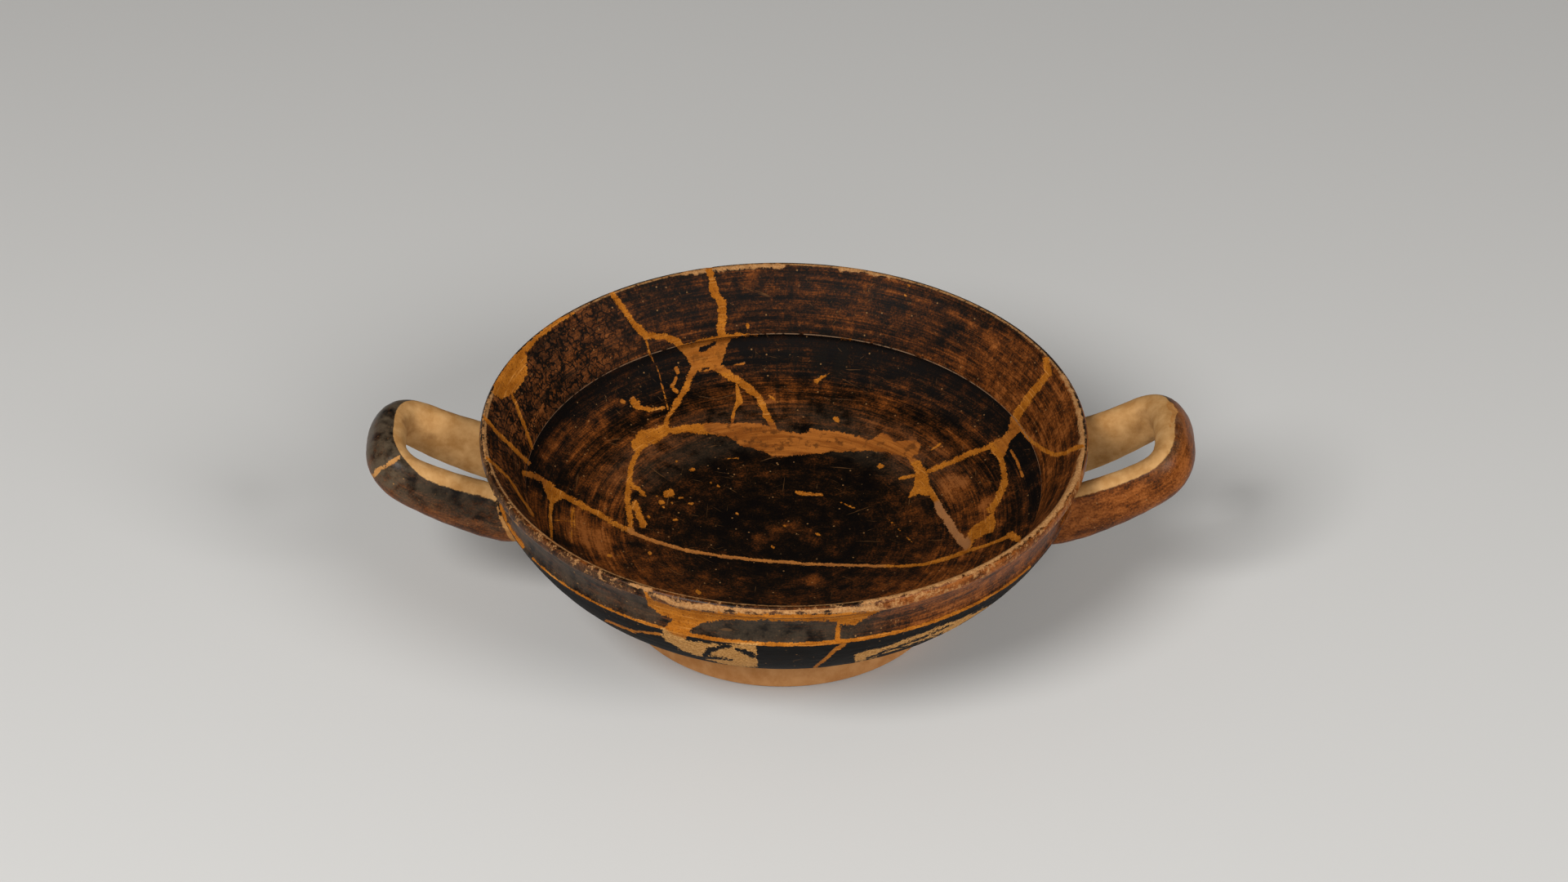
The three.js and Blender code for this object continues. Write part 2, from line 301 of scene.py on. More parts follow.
# Breaks of the outside that also run through the near wall, which hides its inside.
THROUGH_LINES = {
    "through_right": ([(1040, 742), (1028, 759), (1026, 785), (1011, 807), (997, 818)], 6, 4),
    "through_left": ([(790, 734), (820, 760), (830, 784), (846, 800), (866, 812)], 7, 5),
}
# Worn places where the clay shows through the slip.
INSIDE_WEAR = {
    "rim_back": ([(838, 334), (880, 329), (920, 326), (958, 325)], 7, 6),
    "rim_back_right": ([(1030, 328), (1060, 332), (1092, 339)], 6, 4),
    "rim_right": ([(1300, 458), (1315, 485), (1322, 510), (1325, 535), (1325, 558), (1319, 582)], 5, 8),
    "rim_left": ([(602, 482), (593, 500), (590, 530), (594, 560)], 3, 4),
}
# Blurred reddish spots of the slip.
SOFT_SPOTS = {
    "spot_right": ([(1164, 594), (1180, 596)], 20, 13),
    "spot_low": ([(1209, 616), (1213, 617)], 8, 8),
    "spot_centre": ([(928, 657), (934, 659)], 3, 3),
    "centre_ring": ([(943, 655), (952, 648), (968, 645), (986, 651), (996, 662)], 1, 1),
    "spot_front": ([(998, 712), (1002, 713)], 7, 7),
    "spot_left": ([(696, 640), (740, 664)], 26, 12),
    "spot_wall": ([(655, 610), (662, 640)], 10, 10),
    "streak_left": ([(668, 556), (692, 530), (716, 509), (752, 492)], 9, 5),
    "streak_left_low": ([(694, 560), (714, 535), (737, 517)], 5, 4),
}
# The crest of the near rim, worn light.
CREST_WEAR = {
    "crest_right": ([(1319, 582), (1300, 614), (1279, 640), (1256, 658), (1231, 675), (1201, 694),
        (1172, 707), (1143, 717), (1100, 729), (1060, 738)], 9, 5),
    "crest_left": ([(759, 711), (800, 724)], 3, 5),
}
# The rim's bead in front, where hardly any slip is left.
OUTSIDE_WEAR = {
    "bead_front": [(786, 722), (830, 737), (905, 743), (960, 745), (1020, 744), (1077, 740), (1077, 749),
        (1020, 752), (960, 753), (905, 752), (830, 745)],
}
HANDLE_LINES = {
    "left_handle": ([(456, 583), (464, 575), (476, 568), (489, 560)], 6, 5.5),
    "left_root": (LEFT_ROOT, 6, 9),
    "right_chip": ([(1432, 496), (1439, 504), (1436, 513), (1432, 524)], 8, 3),
}


# Curves of the profile
def quadratic(start, lean, end, steps):
    share = np.linspace(0, 1, steps + 1)[:, None]
    start, lean, end = (np.array(place, float) for place in (start, lean, end))
    return start * (1 - share) ** 2 + 2 * lean * share * (1 - share) + end * share**2


def cubic(first, second, third, fourth, steps):
    share = np.linspace(0, 1, steps + 1)[:, None]
    places = [np.array(place, float) for place in (first, second, third, fourth)]
    weights = [(1 - share) ** 3, 3 * share * (1 - share) ** 2, 3 * share**2 * (1 - share), share**3]
    return sum(weight * place for weight, place in zip(weights, places))


def ellipse_arc(radius, height, across, up, start, end, steps):
    angle = np.linspace(start, end, steps + 1)
    return np.stack([radius + across * np.cos(angle), height + up * np.sin(angle)], axis=1)


def travelled(points):
    """How far along a run of points each of them lies."""
    return np.concatenate([[0], np.cumsum(np.linalg.norm(np.diff(points, axis=0), axis=1))])


def evenly(points, count):
    """The same run as evenly spaced points."""
    lengths = travelled(points)
    places = np.linspace(0, lengths[-1], count)
    return np.stack([np.interp(places, lengths, column) for column in points.T], axis=1)


RIDGE = (RIDGE_RADIUS, RIDGE_HEIGHT)
BOWL_FOOT = (FOOT_TOP, FOOT_HEIGHT)
BOWL_BULGE = (FOOT_TOP + BOWL_FULLNESS, FOOT_HEIGHT + BOWL_RISE)
BOWL_CURVE = cubic(RIDGE, RIDGE, BOWL_BULGE, BOWL_FOOT, BOWL_STEPS)
INNER_RADIUS = float(np.interp(-WALL_TOP, -BOWL_CURVE[:, 1], BOWL_CURVE[:, 0])) - WALL_THICKNESS
STEP_RADIUS = INNER_RADIUS - STEP_OVERHANG


def foot_profile():
    inside = FOOT_RADIUS - FOOT_RING_WIDTH
    ceiling = inside - RECESS_TAPER
    edge = RECESS_DEPTH - RECESS_DOME
    return np.concatenate([
        quadratic((0, RECESS_DEPTH), (ceiling * RECESS_BEND, RECESS_DEPTH), (ceiling, edge), RECESS_STEPS),
        [(inside - RECESS_TAPER / 2, edge * RECESS_FALL), (inside, 0)],
        ellipse_arc(FOOT_RADIUS - FOOT_EDGE, FOOT_EDGE, FOOT_EDGE, FOOT_EDGE, -math.pi / 2, 0, EDGE_STEPS),
        [(FOOT_RADIUS - FOOT_TAPER * FOOT_BEND_TAPER, FOOT_HEIGHT * FOOT_BEND)],
    ])


def neck_profile():
    edge = CUP_HEIGHT - BEAD_HEIGHT
    start = (NECK_RADIUS + RIDGE_STAND * NECK_FOOT, RIDGE_HEIGHT + RIDGE_STAND)
    middle = (NECK_RADIUS - RIDGE_STAND * NECK_HOLLOW, (RIDGE_HEIGHT + edge) / 2)
    return quadratic(start, middle, (NECK_TOP_RADIUS, edge), LIP_STEPS)


def bead_profile():
    centre = (RIM_RADIUS - BEAD_WIDTH / 2, CUP_HEIGHT - BEAD_HEIGHT / 2)
    return ellipse_arc(*centre, BEAD_WIDTH / 2, BEAD_HEIGHT / 2, BEAD_START, BEAD_END, BEAD_STEPS)


def inside_profile():
    lip_top = CUP_HEIGHT - BEAD_HEIGHT * LIP_START
    middle_radius = (RIM_INSIDE + STEP_RADIUS) / 2 - LIP_SWELL * LIP_SWELL_IN
    middle = (middle_radius, (lip_top + STEP_HEIGHT) / 2 + LIP_SWELL)
    lip = quadratic((RIM_INSIDE, lip_top), middle, (STEP_RADIUS, STEP_HEIGHT), LIP_STEPS)
    under = [(STEP_RADIUS + STEP_OVERHANG * UNDER_STEP_REACH, STEP_HEIGHT - UNDERCUT_DEPTH * UNDER_STEP_DROP)]
    widest = INNER_RADIUS * WALL_LEAN
    fall = (WALL_TOP - FLOOR_HEIGHT) / (1 - math.sqrt(1 - (INNER_RADIUS / widest) ** 2))
    wall_radius = INNER_RADIUS * np.cos(np.linspace(0, math.pi / 2, WALL_STEPS + 1))
    wall_radius[-1] = 0
    wall_height = FLOOR_HEIGHT + fall - fall * np.sqrt(1 - (wall_radius / widest) ** 2)
    return np.concatenate([lip, under, np.stack([wall_radius, wall_height], axis=1)])


def rounded(points, width, step):
    """A run of close points with its corners eased over a short width."""
    reach = max(1, int(width / step / 2))
    ends = [np.repeat(points[:1], reach, axis=0), np.repeat(points[-1:], reach, axis=0)]
    padded = np.concatenate([ends[0], points, ends[1]])
    window = np.ones(2 * reach + 1) / (2 * reach + 1)
    eased = np.stack([np.convolve(column, window, "valid") for column in padded.T], axis=1)
    eased[0], eased[-1] = points[0], points[-1]
    return eased


sharp_profile = np.concatenate([
    foot_profile(), BOWL_CURVE[::-1], neck_profile(), bead_profile(), inside_profile()])
profile_points = int(travelled(sharp_profile)[-1] / PROFILE_STEP) + 1
PROFILE = rounded(evenly(sharp_profile, profile_points), CORNER_ROUNDING, PROFILE_STEP)
ALONG = travelled(PROFILE)
SLOPES = np.gradient(PROFILE, ALONG, axis=0)


def along_near(radius, height):
    """How far along the profile its nearest point to a place is."""
    return float(ALONG[np.argmin(np.hypot(PROFILE[:, 0] - radius, PROFILE[:, 1] - height))])


FOOT_START = along_near(FOOT_RADIUS, 0)
FOOT_END = along_near(*BOWL_FOOT)
RIDGE_ALONG = along_near(*RIDGE)
BEAD_ALONG = along_near(NECK_TOP_RADIUS, CUP_HEIGHT - BEAD_HEIGHT)
CREST_ALONG = along_near(RIM_RADIUS - BEAD_WIDTH / 2, CUP_HEIGHT)
STEP_ALONG = along_near(STEP_RADIUS, STEP_HEIGHT)
WALL_ALONG = along_near(INNER_RADIUS, WALL_TOP)
LAST_ALONG = float(ALONG[-1])
INSIDE_ALONG = CREST_ALONG - CREST_WIDTH


def eased(value, low, high):
    share = np.clip((value - low) / (high - low), 0, 1)
    return share * share * (3 - 2 * share)


def faded(value, low, high):
    """1 up to low, 0 from high, eased."""
    return 1 - eased(value, low, high)


def radius_at(along):
    return np.interp(along, ALONG, PROFILE[:, 0])


def height_at(along):
    return np.interp(along, ALONG, PROFILE[:, 1])


def leaned(x, y, z):
    share = eased(z, 0, CUP_HEIGHT)
    lifted = z + (RIM_LEAN_X * x + RIM_LEAN_Y * y) * share
    return np.stack([x + BODY_SHIFT + RIM_SHIFT * share, y, lifted], axis=-1)


def body_place(turn, along):
    """Places on the cup's turned body: turn is a unit complex number, along runs over the profile."""
    around_axis = radius_at(along) * turn
    return leaned(around_axis.real, around_axis.imag, height_at(along))


def body_normal(turn, along):
    outwards = np.interp(along, ALONG, SLOPES[:, 1]) * turn
    return np.stack([outwards.real, outwards.imag, -np.interp(along, ALONG, SLOPES[:, 0])], axis=-1)


# The photo's camera
LOOK = np.array([0, math.cos(CAMERA_TILT), -math.sin(CAMERA_TILT)])
UP = np.array([0, math.sin(CAMERA_TILT), math.cos(CAMERA_TILT)])
EYE = np.array([CAMERA_X, 0, TARGET_HEIGHT]) - CAMERA_DISTANCE * LOOK


def pixels(places):
    """Where the photo shows places given in millimetres."""
    out = places - EYE
    depth = out @ LOOK
    across = PHOTO_WIDTH / 2 + FOCAL_PIXELS * out[:, 0] / depth
    down = PHOTO_HEIGHT / 2 - FOCAL_PIXELS * (out @ UP) / depth
    return np.stack([across, down], axis=1)


def seen_by_camera(turn, along, places):
    return np.einsum("ij,ij->i", body_normal(turn, along), EYE - places) > 0


# Signed distances in the photo's plane, below zero inside the shape
def gap_to_run(places, start, run):
    """Distance to a straight run from its start, and how far along the run its nearest place is."""
    share = np.clip(((places - start) @ run) / (run @ run), 0, 1)
    return np.linalg.norm(places - start - share[:, None] * run, axis=1), share


def line_distance(places, line):
    points, first_width, last_width = line
    points = np.array(points, float)
    lengths = travelled(points)
    nearest = np.full(len(places), np.inf)
    for k, run in enumerate(np.diff(points, axis=0)):
        gap, share = gap_to_run(places, points[k], run)
        passed = (lengths[k] + share * np.linalg.norm(run)) / lengths[-1]
        nearest = np.minimum(nearest, gap - (first_width + (last_width - first_width) * passed) / 2)
    return nearest


def patch_distance(places, corners):
    corners = np.array(corners, float)
    nearest = np.full(len(places), np.inf)
    within = np.zeros(len(places), bool)
    for start, end in zip(corners, np.roll(corners, -1, axis=0)):
        run = end - start
        nearest = np.minimum(nearest, gap_to_run(places, start, run)[0])
        crosses = (start[1] > places[:, 1]) != (end[1] > places[:, 1])
        fall = np.where(run[1] == 0, 1, run[1])
        within ^= crosses & (places[:, 0] < start[0] + (places[:, 1] - start[1]) * run[0] / fall)
    return np.where(within, -nearest, nearest)


def shapes_distance(places, lines, patches):
    """Distance in millimetres to the nearest of the lines and patches, at places in pixels."""
    nearest = np.full(len(places), FAR * PIXELS_PER_MM)
    for line in lines.values():
        nearest = np.minimum(nearest, line_distance(places, line))
    for corners in patches.values():
        nearest = np.minimum(nearest, patch_distance(places, corners))
    return nearest / PIXELS_PER_MM


def mark_line(start_x, start_y, end_x, end_y, width):
    return [(start_x, start_y), (end_x, end_y)], width, width


INSIDE_LINES.update({f"mark_{k}": mark_line(*mark) for k, mark in enumerate(INSIDE_MARKS)})


def through_wall(lines):
    """The breaks alone: small marks are only in the slip, and don't run through the wall."""
    return {name: line for name, line in lines.items() if not name.startswith(SURFACE_MARKS)}


def narrow(lines):
    return {name: line for name, line in lines.items() if line[1] <= NARROW_PIXELS}


def wide(lines):
    return {name: line for name, line in lines.items() if line[1] > NARROW_PIXELS}


def inner_twin(turn, along):
    """The place on the inside that lies through the wall from a place on the outside."""
    radius, height = radius_at(along), height_at(along)
    lip = (ALONG > CREST_ALONG) & (ALONG < STEP_ALONG)
    bowl = ALONG > WALL_ALONG
    on_lip = np.interp(-height, -PROFILE[lip, 1], ALONG[lip])
    on_bowl = np.interp(-(radius - WALL_THICKNESS), -PROFILE[bowl, 0], ALONG[bowl])
    return body_place(turn, np.where(height > STEP_HEIGHT, on_lip, on_bowl))


def outer_twin(turn, along):
    """The place on the outside at the height of a place on the inside."""
    wall = (ALONG > FOOT_END) & (ALONG < CREST_ALONG)
    return body_place(turn, np.interp(height_at(along), PROFILE[wall, 1], ALONG[wall]))


def fill_field(turn, along, choose):
    """Signed distance in millimetres to the breaks' chosen fills, below zero on a fill."""
    places = body_place(turn, along)
    seen = seen_by_camera(turn, along, places)
    inside = along > INSIDE_ALONG
    on_outside = ~inside & (along > FOOT_END - FOOT_JOIN)
    with_patches = choose is not narrow
    distance = np.full(len(along), FAR)
    for pick, lines, patches, remnants in (
            (inside & seen, INSIDE_LINES, INSIDE_PATCHES, INSIDE_REMNANTS),
            (on_outside & seen, OUTSIDE_LINES, OUTSIDE_PATCHES, OUTSIDE_REMNANTS)):
        picked = pixels(places[pick])
        fills = shapes_distance(picked, choose(lines), patches if with_patches else {})
        distance[pick] = np.maximum(fills, -shapes_distance(picked, remnants, {}))
    pick = ~inside & ~seen & (places[:, 1] > FAR_WALL_START) & (along > FOOT_END)
    breaks = through_wall(choose(INSIDE_LINES))
    distance[pick] = shapes_distance(pixels(inner_twin(turn[pick], along[pick])), breaks, {})
    pick = inside & ~seen
    distance[pick] = shapes_distance(pixels(outer_twin(turn[pick], along[pick])), choose(THROUGH_LINES), {})
    return distance


# The turned body as a grid of turn and along, made finer near the breaks
def grid_rows():
    ends = [0, FOOT_START, FOOT_END, RIDGE_ALONG - RIDGE_MARGIN, BEAD_ALONG, CREST_ALONG + CREST_MARGIN,
            STEP_ALONG - STEP_MARGIN, WALL_ALONG + STEP_MARGIN, LAST_ALONG]
    rows = [0.0]
    for start, end, step in zip(ends, ends[1:], ROW_STEPS):
        count = max(1, round((end - start) / step))
        rows += [start + (end - start) * (k + 1) / count for k in range(count)]
    return np.array(rows)


def strip(low, high, before, after):
    """Two rows of points joined by triangles."""
    return [np.stack([low + before, low + after, high + after], axis=1),
            np.stack([low + before, high + after, high + before], axis=1)]


def turned_grid(values, turns):
    """A turned skin from pole to pole: each point's turn and its row's value, and the faces."""
    angle = 2 * math.pi * np.arange(turns) / turns
    rows = len(values) - 2
    turn = np.concatenate([[1], np.tile(np.exp(1j * angle), rows), [1]])
    spread = np.concatenate([values[:1], np.repeat(values[1:-1], turns), values[-1:]])
    column = np.arange(turns)
    after = (column + 1) % turns
    faces = [np.stack([np.zeros(turns, int), 1 + after, 1 + column], axis=1)]
    for low in 1 + turns * np.arange(rows - 1):
        faces += strip(low, low + turns, column, after)
    low = 1 + (rows - 1) * turns
    faces.append(np.stack([low + column, low + after, np.full(turns, low + turns)], axis=1))
    return turn, spread, np.concatenate(faces)


def split_faces(faces, middles):
    """Faces cut at the marked edges; middles holds each edge's new point or -1."""
    kept = [faces[(middles < 0).all(axis=1)]]
    for k in range(3):
        a, b, c = (faces[:, (k + n) % 3] for n in range(3))
        ab, bc, ca = (middles[:, (k + n) % 3] for n in range(3))
        one = (ab >= 0) & (bc < 0) & (ca < 0)
        two = (ab >= 0) & (bc >= 0) & (ca < 0)
        kept += [np.stack(corner, axis=1)[one] for corner in ((a, ab, c), (ab, b, c))]
        kept += [np.stack(corner, axis=1)[two] for corner in ((ab, b, bc), (a, ab, bc), (a, bc, c))]
    whole = (middles >= 0).all(axis=1)
    a, b, c = faces[whole].T
    ab, bc, ca = middles[whole].T
    kept += [np.stack(corner, axis=1) for corner in ((a, ab, ca), (ab, b, bc), (ca, bc, c), (ab, bc, ca))]
    return np.concatenate(kept)


def refined(turn, along, faces):
    for limit, reach in REFINE_ROUNDS:
        edges = np.sort(np.concatenate([faces[:, [0, 1]], faces[:, [1, 2]], faces[:, [2, 0]]]), axis=1)
        edges, place = np.unique(edges, axis=0, return_inverse=True)
        start, end = edges.T
        points = body_place(turn, along)
        length = np.linalg.norm(points[start] - points[end], axis=1)
        middle_turn = turn[start] + turn[end]
        middle_turn = middle_turn / np.maximum(np.abs(middle_turn), 1e-9)
        middle_along = (along[start] + along[end]) / 2
        wanted = length > limit * LONGEST_EDGE
        near = np.full(len(edges), FAR)
        near[wanted] = np.abs(fill_field(middle_turn[wanted], middle_along[wanted], dict))
        wanted &= near < reach + length * EDGE_REACH
        middles = np.full(len(edges), -1)
        middles[wanted] = len(turn) + np.arange(wanted.sum())
        faces = split_faces(faces, middles[place.reshape(-1)].reshape(3, -1).T)
        turn = np.concatenate([turn, middle_turn[wanted]])
        along = np.concatenate([along, middle_along[wanted]])
    return turn, along, faces


# The handles
def signed_power(value, power):
    return np.sign(value) * np.abs(value) ** power


def unit(vectors):
    return vectors / np.linalg.norm(vectors, axis=1)[:, None]


def between(first, last, share):
    return first + (last - first) * share


def handle_line(side, spread, bend, tip_slope):
    """The middle line of a strap, each point's share of the way out, and its slope to the side."""
    tilt = math.atan(tip_slope)
    extent = math.hypot(STRAP_TIP_THICKNESS / 2 * math.cos(tilt), STRAP_TIP_HEIGHT / 2 * math.sin(tilt))
    tip = HANDLE_REACH - extent
    run, turn_x = tip - RIDGE_RADIUS, tip - bend
    start = INNER_RADIUS - 2 * WALL_THICKNESS
    arm = start + (turn_x - start) * np.arange(ARM_STEPS) / ARM_STEPS
    angle = np.linspace(-math.pi / 2, math.pi / 2, BEND_STEPS + 1)
    x = np.concatenate([arm, turn_x + bend * signed_power(np.cos(angle), 2 / BEND_POWER), arm[::-1]])
    arm_y = np.full(ARM_STEPS, spread / 2)
    y = np.concatenate([-arm_y, spread / 2 * signed_power(np.sin(angle), 2 / BEND_POWER), arm_y])
    grown = np.maximum(0, x - RIDGE_RADIUS)
    rise = ROOT_SLOPE * grown + (tip_slope - ROOT_SLOPE) / run * grown**2 / 2
    sink = ROOT_SLOPE * np.clip(x - RIDGE_RADIUS, -ROOT_SINK, 0)
    line = np.stack([x * side, y * side, RIDGE_HEIGHT - HANDLE_DROP + rise + sink], axis=1)
    line = evenly(line, 2 * ARM_STEPS + BEND_STEPS)
    share = np.clip((np.abs(line[:, 0]) - RIDGE_RADIUS) / run, 0, 1)
    return line, share, between(ROOT_SLOPE, tip_slope, share) * side


def handle_skin(loop):
    """A closed skin of one loop, and each point's travel, outward and upward place and side."""
    line, share, slope = handle_line(**loop)
    count = len(line)
    forward = unit(np.gradient(line, axis=0))
    up = np.stack([-slope, np.zeros(count), np.ones(count)], axis=1)
    up = unit(up - forward * np.einsum("ij,ij->i", up, forward)[:, None])
    across = np.cross(forward, up)
    thickness = between(STRAP_THICKNESS, STRAP_TIP_THICKNESS, share)
    height = between(STRAP_HEIGHT, STRAP_TIP_HEIGHT, share)
    angle = 2 * math.pi * np.arange(STRAP_SIDES) / STRAP_SIDES
    outward = signed_power(np.cos(angle), 2 / SECTION_POWER)
    upward = signed_power(np.sin(angle), 2 / SECTION_POWER)
    points = (line[:, None] + across[:, None] * (outward * thickness[:, None] / 2)[..., None]
              + up[:, None] * (upward * height[:, None] / 2)[..., None]).reshape(-1, 3)
    sides = np.arange(STRAP_SIDES)
    after = (sides + 1) % STRAP_SIDES
    faces = []
    for low in STRAP_SIDES * np.arange(count - 1):
        high = low + STRAP_SIDES
        faces.append(np.stack([low + sides, high + sides, high + after], axis=1))
        faces.append(np.stack([low + sides, high + after, low + after], axis=1))
    first_cap = count * STRAP_SIDES
    last = first_cap - STRAP_SIDES
    faces.append(np.stack([np.full(STRAP_SIDES, first_cap), sides, after], axis=1))
    faces.append(np.stack([np.full(STRAP_SIDES, first_cap + 1), last + after, last + sides], axis=1))
    travel = np.linspace(0, travelled(line)[-1], count)
    marks = np.stack([np.repeat(travel, STRAP_SIDES), *np.tile([outward, upward], count)], axis=1)
    marks = np.concatenate([marks, np.zeros((2, 3))])
    marks = np.concatenate([marks, np.full((len(marks), 1), loop["side"])], axis=1)
    return np.concatenate([points, line[:1], line[-1:]]), np.concatenate(faces), marks


def trim_skin():
    """The room inside the bowl, which the ends of the handles are cut back from."""
    inside = PROFILE[ALONG >= CREST_ALONG + TRIM_START][::-1][::TRIM_EVERY].copy()
    inside[1:, 0] += WALL_THICKNESS / 2
    top = CUP_HEIGHT * TRIM_TOP
    profile = np.concatenate([inside, [(RIM_INSIDE + WALL_THICKNESS / 2, top), (0, top)]])
    turn, row, faces = turned_grid(np.arange(len(profile)), TURNS)
    radius, height = profile[row].T
    return leaned(radius * turn.real, radius * turn.imag, height), faces


def mesh_object(name, points, faces):
    made_mesh = bpy.data.meshes.new(name)
    made_mesh.from_pydata((points * MM).tolist(), [], faces.tolist())
    made_mesh.validate()
    made = bpy.data.objects.new(name, made_mesh)
    bpy.context.collection.objects.link(made)
    return made


def combined(target, other, operation):
    """The target cut or joined by the other object, which goes."""
    step = target.modifiers.new(operation, "BOOLEAN")
    step.operation = operation
    step.solver = "MANIFOLD"
    step.object = other
    depsgraph = bpy.context.evaluated_depsgraph_get()
    made_mesh = bpy.data.meshes.new_from_object(target.evaluated_get(depsgraph))
    target.modifiers.clear()
    target.data = made_mesh
    bpy.data.objects.remove(other)
    return target


def nearest_points(points, places):
    """Each place's nearest point, as its index and its distance."""
    tree = KDTree(len(points))
    for k, point in enumerate(points):
        tree.insert(point, k)
    tree.balance()
    found = [tree.find(place) for place in places]
    return np.array([hit[1] for hit in found]), np.array([hit[2] for hit in found])


turn, along, faces = refined(*turned_grid(grid_rows(), TURNS))
body_points = body_place(turn, along)
cup = mesh_object("kylix_cup_visual", body_points, faces)
handle_points, handle_marks = [], []
for name, loop in LOOPS.items():
    loop_points, loop_faces, loop_marks = handle_skin(loop)
    handle_points.append(loop_points)
    handle_marks.append(loop_marks)
    handle = mesh_object(name + "_handle", loop_points, loop_faces)
    trim = mesh_object("trim", *trim_skin())
    cup = combined(cup, combined(handle, trim, "DIFFERENCE"), "UNION")

mesh = cup.data
count = len(mesh.vertices)
places = np.empty(count * 3)
mesh.vertices.foreach_get("co", places)
places = places.reshape(-1, 3) / MM

# Each vertex takes its turn and place along the profile, or its place on the strap, from the skins
body_index, body_gap = nearest_points(body_points, places)
handle_index, handle_gap = nearest_points(np.concatenate(handle_points), places)
on_handle = handle_gap < body_gap
turn, along = turn[body_index], along[body_index]
travel, outward, upward, side = np.concatenate(handle_marks)[handle_index].T

# Ease the join of the handles and the body
edges = np.empty(len(mesh.edges) * 2, int)
mesh.edges.foreach_get("vertices", edges)
edges = edges.reshape(-1, 2)
near_join = (body_gap < FILLET_REACH) & (handle_gap < FILLET_REACH) & (along < BEAD_ALONG)
degree = np.maximum(np.bincount(edges.reshape(-1), minlength=count), 1)[:, None]
for _ in range(FILLET_ROUNDS):
    total = np.zeros((count, 3))
    np.add.at(total, edges[:, 0], places[edges[:, 1]])
    np.add.at(total, edges[:, 1], places[edges[:, 0]])
    places[near_join] += FILLET_PULL * (total / degree - places)[near_join]

# Fields that the material reads. Ranges are in millimetres, and those of VIEW in the photo's pixels.
AREA = SimpleNamespace(
    tip=(96, 108), mid_wall=(40, 54), shaded_upper_wall=(60, 72), front_floor=(5, 40), centre=(8, 30),
    sides=(14, 40), floor_edge=(50, 62), lip_right=(20, 78), lip_back=(30, 70), sheen=(36, 44),
    sheen_end=(52, 60), back=(5, 30))
VIEW = SimpleNamespace(
    lip_left=(700, 860), out_left=(790, 900), out_right=(1020, 1120), drips=(890, 925),
    drips_end=(1040, 1075), drips_foot=(480, 520), ridge=(690, 820, 900, 1060, 1250))
# The slip's tone, from black at 0 to light brown at 1: base values, and what each area adds or takes. The
# lighter right side of the lip is painted light, and the darker top of the wall under the step is painted
# shade.
TONE = SimpleNamespace(
    floor=0.13, mid_wall=0.26, shaded_upper_wall=0.8, front_floor=0.24, sides=0.2, lip=0.46, lip_right=0.2,
    lip_back=0.12, lip_left=0.12, blush=0.36, neck=0.3, neck_right=0.38, neck_left=0.1, bead=0.5,
    bead_right=0.34, bowl=-0.1, bowl_right=0.1, right_loop=0.78, right_loop_top=0.2, left_loop=0.38,
    left_loop_under=0.36, left_loop_top=0.16)
# How much grey each place takes: grey slip on the neck, bead, lip and handles, and a painted sheen on the
# floor
GREY_AND_SHEEN = SimpleNamespace(right_tip=0.6, left_loop=0.35, left_tip=0.6, under=0.7, neck=0.85, bead=0.6,
                       lip_left=0.22, sheen=0.4)
SPECKLE = SimpleNamespace(right_loop=0.16, left_loop=0.06, bead=0.62, bead_right=0.1, neck=0.15,
                          crest=0.55, crest_reach=1.3)
STREAKY = SimpleNamespace(loop=0.75, floor=0.4, radius=44)
BARE = SimpleNamespace(edge=0.42, top=(0.1, 0.75), right_top=0.26, left_top=0.34, left_tip=0.5,
                       foot=0.2, reach=2)
RIDGE_WEAR = SimpleNamespace(half=(0.3, 0.45, 0.65, 0.6, 0.35), hidden_half=0.3, offset=0.2, reach=68)
# Ranges of a strap's upward place, from -1 below to 1 on top.
STRAP = SimpleNamespace(right_top=(0.3, 0.9), left_under=(-0.1, 0.7), left_top=(0.2, 0.7),
                        grey_and_sheen_top=(0.2, 0.9), grey_and_sheen_under=(0.3, 0.9))
CRACK_OUTWARD = -0.2
CREST_REACH = 3
BLUSH_EDGE = (-0.5, 2.6)
LIGHT_EDGE = (0.2, 0.9)
PALE_EDGE = (-1.5, -0.5)
PALE_LINES = {"ring_low_pink": 1.0, "front": 0.45}
CRAZED = SimpleNamespace(all_round=0.35, left=0.65)
# Ruddy fills: their own colour on the ring band, and a painted shade under the step
RUDDY_AND_SHADE = SimpleNamespace(band=0.9, band_reach=1.5, shade_under_step=0.55, start=0.8, reach=12)
DULL = SimpleNamespace(lip=0.7, ridge=(-0.5, 1.5), start=9, end=20)

spots = pixels(places)
view_x, view_y = spots.T
x, y, z = places.T
seen = seen_by_camera(turn, along, places)
radius = radius_at(along)
body = ~on_handle
inside = body & (along > INSIDE_ALONG)
outside = body & (along > FOOT_END) & ~inside
lip_out = outside & (along > RIDGE_ALONG)
bead_out = outside & (along > BEAD_ALONG)
on_floor = inside & (along > WALL_ALONG)
right_loop = on_handle & (side > 0)

# Breaks, fills and worn places
wide_fill = np.where(on_handle, FAR, fill_field(turn, along, wide))
narrow_fill = np.where(on_handle, FAR, fill_field(turn, along, narrow))
cracked = on_handle & (outward > CRACK_OUTWARD)
handle_cracks = shapes_distance(spots, HANDLE_LINES, {})
narrow_fill = np.where(cracked, np.minimum(narrow_fill, handle_cracks), narrow_fill)
fill = np.minimum(wide_fill, narrow_fill)
ridge_half = np.where(seen, np.interp(view_x, VIEW.ridge, RIDGE_WEAR.half), RIDGE_WEAR.hidden_half)
ridge_wear = np.abs(along - RIDGE_ALONG - RIDGE_WEAR.offset) - ridge_half
ridge_wear = np.where(outside & (np.abs(x) < RIDGE_WEAR.reach), ridge_wear, FAR)
narrow_fill = np.minimum(narrow_fill, ridge_wear)
wear = np.where(inside & seen, shapes_distance(spots, INSIDE_WEAR, {}), FAR)
on_bead = body & (along > BEAD_ALONG) & (along < CREST_ALONG + CREST_REACH)
wear = np.where(on_bead, np.minimum(wear, shapes_distance(spots, CREST_WEAR, {})), wear)
